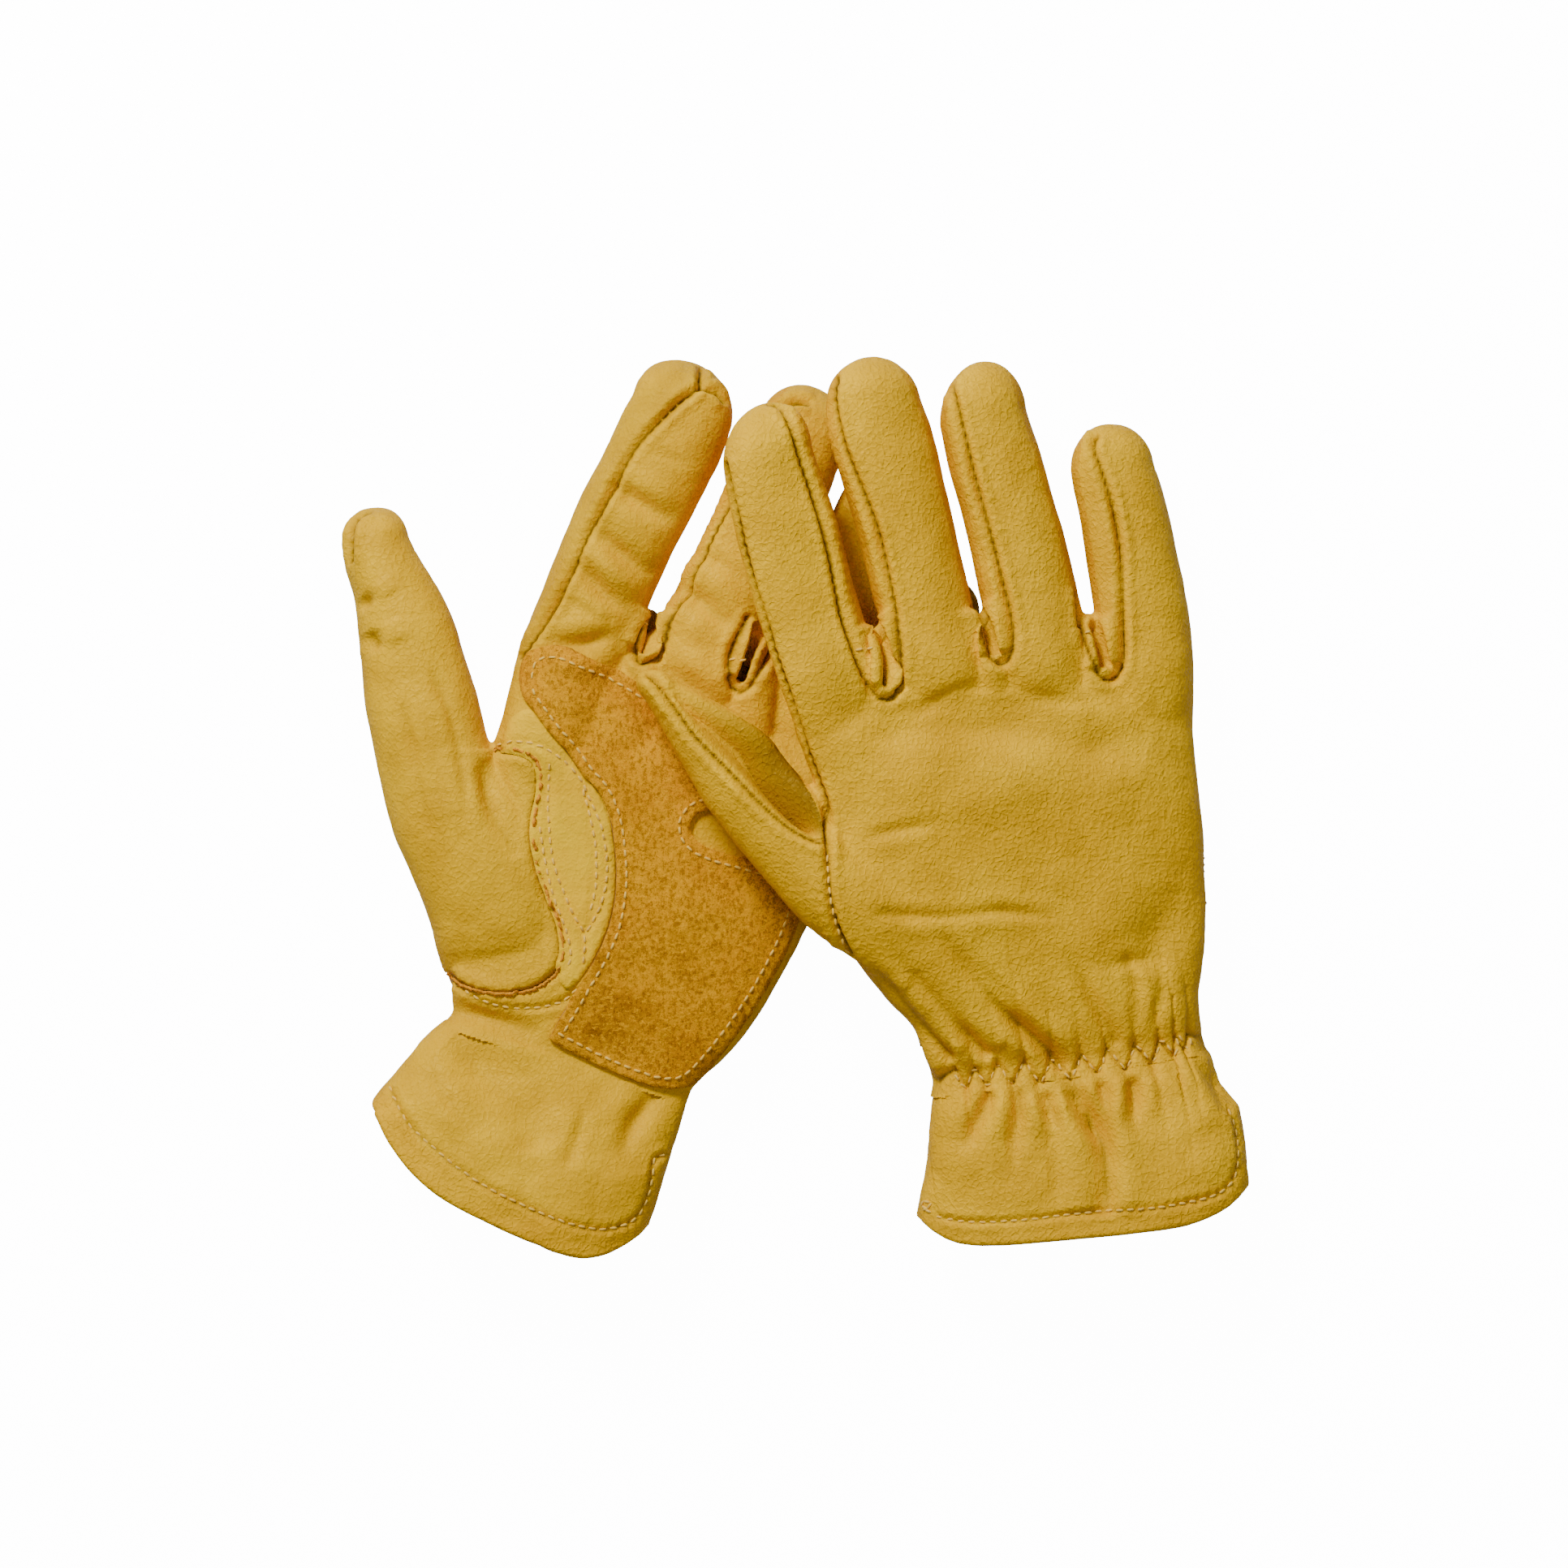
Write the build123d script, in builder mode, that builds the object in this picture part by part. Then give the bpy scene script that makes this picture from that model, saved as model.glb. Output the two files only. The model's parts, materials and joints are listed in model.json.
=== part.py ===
"""A pair of unlined leather gloves with elasticated wrists, laid down as a pair, in millimetres.

The left glove lies on its back with its palm up. The right glove lies palm down over it, its thumb side
raised on the left glove. +Y points along the fingers, +Z up from the surface that the pair lies on.
Each glove is made of leather panels: back, palm, thumb halves, finger backs, finger fronts and the
fourchettes, the side walls between the fingers.
"""

import math
import os

from build123d import *

os.makedirs("parts", exist_ok=True)

# Leather and trim
LEATHER = 1.5  # grain leather panels
SUEDE = 1.4  # palm patch
LEAF = 1.1  # reinforcement at the thumb crotch
HEM_FOLD = 1.2  # leather turned in at the cuff's edge
HEM_WIDTH = 8.0
ELASTIC_THICK = 1.0
ELASTIC_WIDTH = 8.0
LIE = 0.15  # air between layers that lie on each other
JOINT_GAP = 0.5  # air between bodies that bend on each other
ROOT_SHARE = 0.8  # a finger's root narrows into the hand to this share of its full section
SIDE_SHARE = 0.72  # where a fourchette starts, as a share of the finger's half width
REACH = 400.0  # a size beyond every part

# The rounded fingertip: how far back from the tip, in half widths, and the share of the full section there
TIP = [(2.4, 1.0), (1.1, 0.96), (0.5, 0.82), (0.2, 0.64), (0.0, 0.42)]

# The right glove leans on the left one
TILT = 14.0
RIGHT_X, RIGHT_Z = 66.0, 25.8  # a point on the right glove's middle
FINGER_DROOP = 0.045  # how fast its fingers sink towards their tips


def heading(lean):
    """Horizontal direction that leans by this angle to the right of +Y."""
    return Vector(math.sin(math.radians(lean)), math.cos(math.radians(lean)), 0)


def section_plane(point, lean, roll):
    """Plane across a tube that heads along lean. Its x axis points right, raised by the roll angle."""
    ahead = heading(lean)
    right = Vector(ahead.Y, -ahead.X, 0)
    across = right * math.cos(math.radians(roll)) + Vector(0, 0, math.sin(math.radians(roll)))
    return Plane(origin=point, x_dir=across, z_dir=ahead)


def finger_point(finger, along):
    """Point on a finger's centre line."""
    ahead = heading(finger["lean"])
    x, y, z = finger["base"]
    return Vector(x + ahead.X * along, y + ahead.Y * along, z + finger["rise"] * along)


def finger_tube(finger, start, inset, end=None):
    """Finger from start mm along its centre line to its rounded tip, or to end, shrunk by inset."""
    half_width, half_thick = finger["half_width"], finger["half_thick"]
    if end is None:
        stops = [(start, 1.0)]
        stops += [(finger["length"] - inset - back * half_width * finger["taper"], share) for back, share in TIP]
    else:
        stops = [(start, ROOT_SHARE), (0.4 * start, 1.0), (end, 1.0)]
    with BuildPart() as tube:
        for along, share in stops:
            with BuildSketch(section_plane(finger_point(finger, along), finger["lean"], finger["roll"])):
                Ellipse(half_width * share - inset, half_thick * share - inset)
        loft(ruled=True)
    return tube.part


def body_loft(rows, lean, inset, far_wall=0.0):
    """Flat tube through rows of (point, half width, half thickness left and right, roll)."""
    with BuildPart() as flat:
        for point, half_width, left, right, roll in rows:
            x = half_width - inset
            back = far_wall if point is rows[-1][0] else 0.0
            with BuildSketch(section_plane(Vector(*point) - heading(lean) * back, lean, roll)):
                with BuildLine():
                    Polyline(
                        (-x, inset - left),
                        (x, inset - right),
                        (x, right - inset),
                        (-x, left - inset),
                        close=True,
                    )
                make_face()
                fillet(vertices().filter_by_position(Axis.X, -REACH, 0), 0.9 * (left - inset))
                fillet(vertices().filter_by_position(Axis.X, x - 0.01, REACH), 0.9 * (right - inset))
        loft(ruled=True)
    return flat.part


def resting_row(x, y, half_width, left, right):
    """Row of a tube whose underside is flat on the surface, thicker on its left side than on its right."""
    roll = -math.degrees(math.atan((left - right) / (2 * half_width)))
    return ((x, y, (left + right) / 2 - 0.3), half_width, left, right, roll)


def tall_prism(plane, points):
    """Tall prism over a smooth closed outline."""
    with BuildPart() as tall:
        with BuildSketch(plane):
            with BuildLine():
                Spline(points, periodic=True)
            make_face()
        extrude(amount=REACH, both=True)
    return tall.part


def hem_prism(corners, lowest, shift):
    """Tall prism over everything above the curved edge of a cuff, moved by shift."""
    with BuildPart() as tall:
        with BuildSketch(Plane(origin=shift)):
            with BuildLine():
                Polyline(corners)
                ThreePointArc(corners[-1], lowest, corners[0])
            make_face()
        extrude(amount=REACH, both=True)
    return tall.part


def between(outer, inner, *limits):
    """What lies inside outer and outside inner, cut to every limit."""
    with BuildPart() as layer:
        add(outer)
        add(inner, mode=Mode.SUBTRACT)
        for limit in limits:
            add(limit, mode=Mode.INTERSECT)
    return layer.part


def keep_side(part, plane, keep):
    """The part of a solid on one side of a plane."""
    with BuildPart() as kept:
        add(part)
        split(bisect_by=plane, keep=keep)
    return kept.part


def export(part, name):
    """Writes one node."""
    part.label = name
    export_step(part, f"parts/{name}.step")


def finger(base, lean, length, half_width, half_thick, hinge, rise=0.0, roll=0.0, taper=1.0):
    """A finger: start and heading of its centre line, length, half sizes and where it bends."""
    return {
        "base": base,
        "lean": lean,
        "length": length,
        "half_width": half_width,
        "half_thick": half_thick,
        "hinge": hinge,
        "rise": rise,
        "roll": roll,
        "taper": taper,
    }


def right_middle(x):
    """Height of the right glove's middle at this x."""
    return RIGHT_Z + (RIGHT_X - x) * math.tan(math.radians(TILT))


def right_row(x, y, half_width, half_thick):
    """Row of the right glove's hand, tilted to lean on the left glove."""
    return ((x, y, right_middle(x)), half_width, half_thick, half_thick, -TILT)


def right_finger(x, y, lean, length, half_width, half_thick, hinge):
    """Finger of the right glove, which sinks towards its tip."""
    rise = -FINGER_DROOP - math.sin(math.radians(lean)) * math.tan(math.radians(TILT))
    return finger((x, y, right_middle(x)), lean, length, half_width, half_thick, hinge, rise, -TILT)


GLOVES = {
    "left": {
        "lean": 20.3,
        "palm_up": True,
        "middle_roll": -3.0,
        "hand": [
            resting_row(-63.5, -68.5, 36.5, 13.2, 11.2),
            resting_row(-59.0, -49.0, 46.5, 14.0, 10.4),
            resting_row(-47.0, -24.0, 50.0, 14.0, 9.4),
            resting_row(-36.0, 2.0, 52.0, 14.0, 8.6),
            resting_row(-31.0, 14.0, 54.0, 13.6, 8.2),
            ((-26.5, 26.0, 10.8), 55.0, 9.5, 6.2, -2.9),
        ],
        "cuff": [
            resting_row(-63.7, -69.0, 36.5, 13.2, 11.2),
            resting_row(-71.0, -85.0, 39.5, 15.5, 14.0),
            resting_row(-82.0, -108.0, 45.0, 18.0, 17.0),
            resting_row(-89.5, -130.0, 46.5, 19.0, 18.0),
        ],
        "hem": [(-121.0, -83.0), (-60.0, 0.0), (20.0, -50.0), (-42.0, -126.5)],
        "hem_low": (-86.0, -116.5),
        "fingers": {
            "index": finger((-65.5, 43.0, 13.4), 24.5, 91.5, 15.2, 12.8, 16.0),
            "middle": finger((-29.0, 45.0, 11.4), 27.0, 85.0, 14.4, 10.6, 14.0),
            "ring": finger((1.0, 28.0, 8.2), 22.0, 75.0, 13.2, 6.8, 12.0),
            "little": finger((24.0, 9.0, 7.9), 21.5, 62.0, 11.8, 6.8, 12.0),
            "thumb": finger((-99.5, -4.0, 13.9), -14.0, 92.0, 15.8, 13.4, 24.0, taper=1.6),
        },
    },
    "right": {
        "lean": -7.5,
        "palm_up": False,
        "middle_roll": -TILT,
        "hand": [
            ((78.0, -71.0, 20.4), 38.0, 14.4, 14.4, -7.0),
            ((69.0, -48.0, 23.6), 49.0, 14.5, 14.5, -11.0),
            right_row(64.0, -30.0, 54.0, 14.5),
            right_row(61.0, 0.0, 56.0, 14.5),
            right_row(56.5, 19.0, 59.0, 14.0),
            right_row(54.0, 33.0, 60.5, 9.5),
        ],
        "cuff": [
            ((78.1, -71.5, 20.4), 38.0, 14.4, 14.4, -7.0),
            ((80.5, -85.0, 20.6), 42.5, 16.0, 16.0, -5.0),
            ((83.0, -105.0, 20.6), 47.0, 18.5, 18.5, -2.0),
            ((84.0, -127.0, 19.6), 47.0, 19.5, 19.5, 0.0),
        ],
        "hem": [(34.0, -114.0), (30.0, 0.0), (150.0, 0.0), (130.0, -106.0)],
        "hem_low": (86.0, -123.5),
        "fingers": {
            "index": right_finger(9.0, 36.0, -14.8, 80.5, 14.4, 12.2, 18.0),
            "middle": right_finger(40.5, 40.0, -13.4, 90.0, 13.9, 12.4, 16.0),
            "ring": right_finger(71.5, 40.0, -13.2, 89.5, 13.6, 12.2, 17.0),
            "little": right_finger(100.0, 38.0, -9.0, 71.0, 13.0, 11.6, 20.0),
            "thumb": finger((7.0, -20.0, 40.2), -42.5, 75.0, 13.2, 12.0, 27.0, roll=-8.0, taper=1.3),
        },
    },
}

ROOT_DEPTH = {"index": 24.0, "middle": 24.0, "ring": 24.0, "little": 24.0, "thumb": 36.0}

# Outlines on the palm, from the wrist's middle: x towards the little finger, y along the hand
PATCH = [
    (-7.0, 1.0),
    (8.0, 37.0),
    (6.0, 62.0),
    (-7.0, 88.0),
    (-24.0, 96.0),
    (-10.0, 98.0),
    (14.0, 97.0),
    (33.0, 93.0),
    (36.0, 78.0),
    (23.0, 74.0),
    (25.0, 64.0),
    (40.0, 62.0),
    (42.0, 40.0),
    (38.0, 16.0),
    (32.0, 3.0),
    (12.0, 0.0),
]
LEAF_OUTLINE = [(-28.0, 80.0), (-19.0, 78.0), (-8.0, 60.0), (-6.0, 40.0), (-11.0, 28.0), (-24.0, 42.0), (-32.0, 62.0)]


def middle_plane(point, lean, roll, rise=0.0):
    """Plane that parts back from palm, through a centre line with this lean, roll and rise."""
    across = section_plane(point, lean, roll).x_dir
    along = heading(lean) + Vector(0, 0, rise)
    return Plane(origin=point, z_dir=across.cross(along))


def make_finger(side, name, glove, back_keep, front_keep):
    """Back, front and side walls of one finger or thumb beyond its bend."""
    one = glove["fingers"][name]
    bend = one["hinge"]
    shell = between(finger_tube(one, bend, 0), finger_tube(one, bend, LEATHER))
    ahead = heading(one["lean"])
    right = Vector(ahead.Y, -ahead.X, 0)
    offset = SIDE_SHARE * one["half_width"]
    right_rim = Plane(origin=finger_point(one, 0) + right * offset, z_dir=right)
    left_rim = Plane(origin=finger_point(one, 0) - right * offset, z_dir=right)
    if name in ("index", "middle", "ring"):
        export(keep_side(shell, right_rim, Keep.TOP), f"{side}_{name}_fourchette_outer")
        shell = keep_side(shell, right_rim, Keep.BOTTOM)
    if name in ("middle", "ring", "little"):
        export(keep_side(shell, left_rim, Keep.BOTTOM), f"{side}_{name}_fourchette_inner")
        shell = keep_side(shell, left_rim, Keep.TOP)
    plane = middle_plane(finger_point(one, 0), one["lean"], one["roll"], one["rise"])
    export(keep_side(shell, plane, back_keep), f"{side}_{name}_back")
    export(keep_side(shell, plane, front_keep), f"{side}_{name}_front")


def hand_with_roots(glove, inset):
    """The hand with the roots of its fingers and thumb, as one solid shrunk by inset."""
    with BuildPart() as whole:
        add(body_loft(glove["hand"], glove["lean"], inset, inset))
        for name, one in glove["fingers"].items():
            add(finger_tube(one, -ROOT_DEPTH[name], inset, one["hinge"] - JOINT_GAP))
    return whole.part


def make_hand(side, glove, plane, back_keep, front_keep):
    """Back and palm panels with the palm patch, the crotch leaf and the wrist elastic."""
    rows, lean = glove["hand"], glove["lean"]
    shell = between(hand_with_roots(glove, 0), hand_with_roots(glove, LEATHER))
    shell = keep_side(shell, Plane.XY, Keep.TOP)
    export(keep_side(shell, plane, back_keep), f"{side}_back_panel")
    export(keep_side(shell, plane, front_keep), f"{side}_palm_panel")

    ahead = heading(lean)
    x, y, z = rows[0][0]
    palm = Plane(origin=(x, y, 0), x_dir=(ahead.Y, -ahead.X, 0), z_dir=(0, 0, 1))
    near = body_loft(rows, lean, -LIE)
    roots = hand_with_roots(glove, -LIE)
    for name, outline, thick in (("palm_patch", PATCH, SUEDE), ("crotch_leaf", LEAF_OUTLINE, LEAF)):
        layer = between(body_loft(rows, lean, -LIE - thick), near, tall_prism(palm, outline))
        with BuildPart() as trimmed:
            add(keep_side(layer, plane, front_keep))
            add(roots, mode=Mode.SUBTRACT)
        export(trimmed.part, f"{side}_{name}")

    depth = LEATHER + LIE
    elastic = between(body_loft(rows, lean, depth), body_loft(rows, lean, depth + ELASTIC_THICK))
    wrist = section_plane((x, y, z), lean, 0)
    elastic = keep_side(elastic, wrist.offset(2.0), Keep.TOP)
    elastic = keep_side(elastic, wrist.offset(2.0 + ELASTIC_WIDTH), Keep.BOTTOM)
    export(keep_side(elastic, plane, back_keep), f"{side}_wrist_elastic")


def make_cuff(side, glove, plane, back_keep, front_keep):
    """Flared cuff below the elastic, with its turned-in hem."""
    rows, lean = glove["cuff"], glove["lean"]
    edge = hem_prism(glove["hem"], glove["hem_low"], (0, 0, 0))
    shell = between(body_loft(rows, lean, 0), body_loft(rows, lean, LEATHER), edge)
    shell = keep_side(shell, Plane.XY, Keep.TOP)
    export(keep_side(shell, plane, back_keep), f"{side}_cuff_back")
    export(keep_side(shell, plane, front_keep), f"{side}_cuff_front")
    depth = LEATHER + LIE
    inward = heading(lean) * HEM_WIDTH
    with BuildPart() as hem:
        add(between(body_loft(rows, lean, depth), body_loft(rows, lean, depth + HEM_FOLD), edge))
        add(hem_prism(glove["hem"], glove["hem_low"], inward), mode=Mode.SUBTRACT)
    export(hem.part, f"{side}_cuff_hem")


for side, glove in GLOVES.items():
    centre = Vector(*glove["hand"][3][0])
    plane = middle_plane(centre, glove["lean"], glove["middle_roll"])
    back_keep = Keep.BOTTOM if glove["palm_up"] else Keep.TOP
    front_keep = Keep.TOP if glove["palm_up"] else Keep.BOTTOM
    make_hand(side, glove, plane, back_keep, front_keep)
    make_cuff(side, glove, plane, back_keep, front_keep)
    for name in glove["fingers"]:
        make_finger(side, name, glove, back_keep, front_keep)
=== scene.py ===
"""Looks of a pair of yellow leather gloves: the left one palm up, the right one back up over it.

Lengths in the tables are millimetres in the object's frame. Each glove's skin is one closed tube per
finger, thumb and hand, merged, dented along its seams and folds, and cut into its leather panels.
"""

import json
import math

import bpy
import numpy as np
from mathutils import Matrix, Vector, geometry
from mathutils.bvhtree import BVHTree


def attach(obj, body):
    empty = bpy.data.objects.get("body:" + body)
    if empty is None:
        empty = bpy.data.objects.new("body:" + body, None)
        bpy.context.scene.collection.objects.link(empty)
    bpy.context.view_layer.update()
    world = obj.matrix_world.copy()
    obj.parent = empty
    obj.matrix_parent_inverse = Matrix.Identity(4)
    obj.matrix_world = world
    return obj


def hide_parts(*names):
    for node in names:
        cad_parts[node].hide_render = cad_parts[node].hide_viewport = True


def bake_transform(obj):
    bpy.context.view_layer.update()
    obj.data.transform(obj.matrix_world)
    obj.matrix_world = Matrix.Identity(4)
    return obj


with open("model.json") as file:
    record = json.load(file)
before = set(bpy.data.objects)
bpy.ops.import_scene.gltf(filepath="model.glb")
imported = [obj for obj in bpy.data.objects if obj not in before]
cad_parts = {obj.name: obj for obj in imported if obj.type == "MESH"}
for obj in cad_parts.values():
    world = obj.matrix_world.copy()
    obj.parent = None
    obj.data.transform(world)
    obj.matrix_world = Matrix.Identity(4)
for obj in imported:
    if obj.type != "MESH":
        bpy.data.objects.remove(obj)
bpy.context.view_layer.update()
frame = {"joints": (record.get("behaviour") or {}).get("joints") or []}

FINE = 0.72  # voxel size of the skin
SQUARE = 2.9  # how square a hand, a wrist and a cuff are in section: 2 is an oval
WRIST_CUT = -4.5  # where the skin ends below the wrist line
FLESH_HEIGHT = 22  # how far up from the wrist the leather has an inner side
THUMB_HOLLOW = 11.5  # depth of the hollow in the right thumb
HEM_WIDTH, HEM_TURN = 6.6, 1.3  # of a cuff, and the radius of its turned edge
PATCH_SEAM = 3.0  # from the patch's edge to its thread
PALM_TURN = math.radians(-27.8)  # from the left glove to the right one
TABLE = 3000  # half its size

# ------------------------------------------------------------------ where each glove's middle lies


def left_mid(x, y, thick):
    """The left glove rests on its back."""
    return thick + 0.5


RIGHT_ALONG = [-140, -137, -115, -95, -81, -57, -38]
RIGHT_SLOPE = np.tan(np.radians([0, 0, 2, 5, 7, 11, 14]))
RIGHT_X = [84.0, 84.0, 83.0, 80.5, 78.0, 69.0, 64.0]
RIGHT_Z = [19.8, 19.8, 20.6, 20.6, 20.4, 23.6, 26.3]


def right_mid(x, y, thick):
    """The right glove leans on the left one, and its fingers sink towards their tips."""
    along = y * 0.9914 - x * 0.1305
    rise = np.interp(along, RIGHT_ALONG, RIGHT_SLOPE) * (np.interp(along, RIGHT_ALONG, RIGHT_X) - x)
    return np.interp(along, RIGHT_ALONG, RIGHT_Z) + rise - 0.045 * np.maximum(0, y - 38)


def thumb_mid(x, y, thick):
    """The right thumb lies level over the left palm."""
    return 40.2 + 0.06 * (x - 7) + 0 * y


# ------------------------------------------------------------------ outlines
# Rungs of each tube: left x, y, right x, y, half thickness at the left and at the right.

RIGHT = {
    "hand": (right_mid, SQUARE, (57, 37.5), [
        (37, -90, 121, -77, 15.4, 15.4), (38, -80, 117.2, -68, 14, 14), (38, -77, 117.2, -65, 14, 14),
        (33.5, -63.5, 115.8, -55, 14.3, 14.3), (25, -54, 116.8, -44, 14.5, 14.5),
        (15, -40, 117.9, -32, 14.5, 14.5), (10, -24, 117.7, -19, 14.5, 14.5),
        (8.5, -9, 116.9, -4, 14.5, 14.5), (4.4, 8.9, 115, 13, 14.3, 14.3), (0.4, 20, 114, 25, 13.5, 13.5),
        (-1.5, 27, 113.8, 32, 11, 11),
    ]),
    "index": (right_mid, 2.3, (-8, 114.6), [
        (4, 12, 27, 18, 9, 9), (-3.6, 32, 23.2, 39, 12.5, 12.5), (-7.7, 44.2, 20.5, 51, 12.5, 12.5),
        (-11.7, 57.3, 16.3, 64.5, 12.3, 12.3), (-15.7, 72.5, 12.4, 79, 12.2, 12.2),
        (-18.8, 86, 8.6, 91, 12.2, 12.2), (-20.6, 97, 5, 101.5, 12, 12),
    ]),
    "middle": (right_mid, 2.3, (20.6, 128.2), [
        (33, 16, 58, 24, 9, 9), (29, 34, 54.5, 41, 12.6, 12.6), (25.2, 47, 51.6, 54, 12.6, 12.6),
        (22, 59, 48.8, 65.5, 12.5, 12.5), (17.6, 77, 45, 82, 12.4, 12.4), (13.6, 91, 41.8, 95, 12.4, 12.4),
        (9.8, 104.5, 38.6, 108, 12.2, 12.2), (8.7, 113, 35.6, 115.8, 11.8, 11.8),
    ]),
    "ring": (right_mid, 2.3, (52.9, 127.1), [
        (60, 18, 87, 25, 9, 9), (56.2, 38, 84.6, 44, 12.4, 12.4), (54.4, 51, 82, 57, 12.4, 12.4),
        (52, 61.4, 79.2, 68, 12.3, 12.3), (49.8, 72, 76.6, 78, 12.2, 12.2), (47.2, 84, 73, 89, 12.2, 12.2),
        (43.8, 96, 70, 100.3, 12, 12), (41.2, 109, 66, 113, 11.6, 11.6),
    ]),
    "little": (right_mid, 2.3, (89.6, 110), [
        (90, 16, 114, 20, 9, 9), (88.6, 34, 114.6, 38, 11.8, 11.8), (86.4, 48, 113.7, 51, 11.8, 11.8),
        (84.6, 60, 111.8, 63, 11.7, 11.7), (82.6, 74, 109, 76, 11.6, 11.6), (80.8, 86, 106, 87.6, 11.4, 11.4),
        (78.8, 96, 103, 98.2, 10.8, 10.8),
    ]),
    "web_1": (right_mid, 2.2, (23.6, 52), [
        (18, 24, 32, 28, 10, 10), (19, 34, 31, 37, 10.8, 10.8), (20, 42, 28.5, 45, 9, 9)]),
    "web_2": (right_mid, 2.2, (53.2, 56), [
        (50, 26, 66, 30, 10, 10), (50, 38, 61, 41, 10.6, 10.6), (50, 48, 57.5, 50, 9, 9)]),
    "web_3": (right_mid, 2.2, (83.6, 55), [
        (78, 26, 94, 30, 10, 10), (79, 37, 92, 40, 10.4, 10.4), (80, 47, 88.5, 49, 8.6, 8.6)]),
    "thumb": (thumb_mid, 2.1, (-43.4, 38.8), [
        (30, -52, 44, -30, 3, 3), (15, -42, 27, -16, 9.5, 9.5), (1, -32, 14, -6, 12, 12),
        (-10, -18.7, 6, 4, 12.6, 12), (-19, -7.5, -1.8, 12.5, 12.4, 12), (-26.5, 2.5, -8, 20.8, 12.2, 11.6),
        (-32.5, 12.8, -15.6, 26.6, 11.8, 11), (-38, 22.5, -24.4, 31.2, 11, 10),
        (-42.5, 30.5, -32, 35, 9.5, 8.6),
    ]),
}


def heading(lean):
    """Direction that leans this many degrees to the right of +Y."""
    return np.array([math.sin(math.radians(lean)), math.cos(math.radians(lean))])


# Base and lean of each finger that has no joint.
STILL = {"middle": ((-29, 45), 27), "ring": ((1, 28), 22), "little": ((24, 9), 21.5)}


def straight(base, lean, length, half_width, thick):
    """Rungs and tip of a plain finger, for those that lie under the other glove."""
    a = heading(lean)
    r = np.array([a[1], -a[0]]) * half_width
    rungs = []
    for along, share in ((-22, 0.7), (-6, 1), (20, 1), (0.6 * length, 1), (length - half_width * 1.1, 0.95)):
        p = np.array(base) + a * along
        rungs.append((*(p - r * share), *(p + r * share), thick * share, thick * share))
    return left_mid, 2.2, tuple(np.array(base) + a * length), rungs


LEFT = {
    "hand": (left_mid, SQUARE, (-25, 30), [
        (-107, -67, -33, -92, 15, 13.2), (-99.5, -60.5, -29.7, -82.5, 13.2, 11.2),
        (-98.8, -57.5, -28.5, -80, 13.2, 11.2), (-98, -47, -20.7, -73, 13.6, 10.8),
        (-97, -37, -13.3, -64.5, 14, 10.4), (-96, -22, -5.9, -52, 14, 9.8), (-94, -8, 1.5, -38.6, 14, 9.4),
        (-90, 7, 9, -24, 14, 9), (-86, 20, 16, -10, 14, 8.8), (-81.5, 32, 22.5, 1, 13, 8.2),
        (-79.5, 38, 25, 7, 10.5, 7),
    ]),
    "index": (left_mid, 2.3, (-30, 128.3), [
        (-88, 6, -62, -3, 12, 11.6), (-85, 20, -58, 10, 13.4, 12.8), (-82.2, 33, -52, 26, 13.4, 13),
        (-79.4, 45, -48.6, 40, 13, 13), (-76, 54, -44.8, 48, 13, 12.8),
        (-71.8, 64.5, -42.4, 56.5, 12.8, 12.8), (-66.8, 77.5, -38.4, 65.7, 12.8, 12.8),
        (-61.2, 89.5, -33, 77, 12.6, 12.6), (-55.8, 100.4, -27.4, 88, 12.4, 12.4),
        (-50.4, 112, -21.8, 99.5, 12.2, 12.2), (-46.6, 118.8, -18.4, 110, 11.6, 11.6),
    ]),
    "middle": (left_mid, 2.3, (6.4, 121.2), [
        (-53, 17, -26, 6, 9, 8), (-45.5, 32, -18, 21, 11.4, 10.4), (-40.6, 45, -15, 34, 11, 10.6),
        (-37.6, 55.5, -12, 44, 10.8, 10.6), (-33, 65.5, -7.5, 53, 10.8, 10.6),
        (-28, 75.5, -2.5, 63.5, 10.6, 10.6), (-22.6, 86.5, 3, 75, 10.6, 10.6),
        (-16.6, 100, 9, 88, 10.6, 10.4), (-11.5, 110.5, 13.6, 100, 10.2, 10),
    ]),
    "web_0": (left_mid, 2.6, (-52, 46), [
        (-72, 8, -36, -4, 10.5, 10), (-68, 22, -36, 12, 12.2, 11.4), (-64, 34, -38, 25, 12.4, 11.4),
        (-61, 40, -42, 34, 11.6, 11)]),
    "web_1": (left_mid, 2.2, (-41, 57), [
        (-56, 33, -36, 26, 11, 10.5), (-51, 42, -38, 37.5, 11.5, 11), (-47, 49.5, -38.5, 46.5, 9.6, 9.6)]),
    "web_2": (left_mid, 2.2, (-9, 53), [
        (-28, 22, -6, 14, 9.4, 9), (-20, 34, -5, 28.5, 9.8, 9.4), (-15.5, 43.5, -4, 40, 8.4, 8.4)]),
    "ring": straight(*STILL["ring"], 75, 13, 6.9),
    "little": straight(*STILL["little"], 62, 11.6, 6.9),
    "thumb": (left_mid, 2.2, (-121.3, 86.4), [
        (-98.5, -52, -73, -52, 7, 9), (-102.4, -42, -66, -40, 12.5, 13.6),
        (-105.6, -31, -67, -28, 14.4, 14.8), (-110.4, -19, -70, -14, 15, 15.2),
        (-115.2, -7.5, -75, -1, 15, 15.2), (-118.6, 5.5, -83, 9, 14.6, 15), (-121.2, 18, -88, 20, 14.2, 14.6),
        (-123.3, 28.5, -91, 31.5, 14, 14.2), (-124.8, 41, -94.6, 42, 13.6, 13.6),
        (-125.8, 52, -98.5, 54.5, 13.2, 13), (-126.8, 61, -103, 63.5, 12.4, 12.4),
        (-129.2, 69, -107.8, 71.5, 11.8, 11.8), (-129.6, 76, -111.2, 77.5, 11, 11),
    ]),
}

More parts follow.
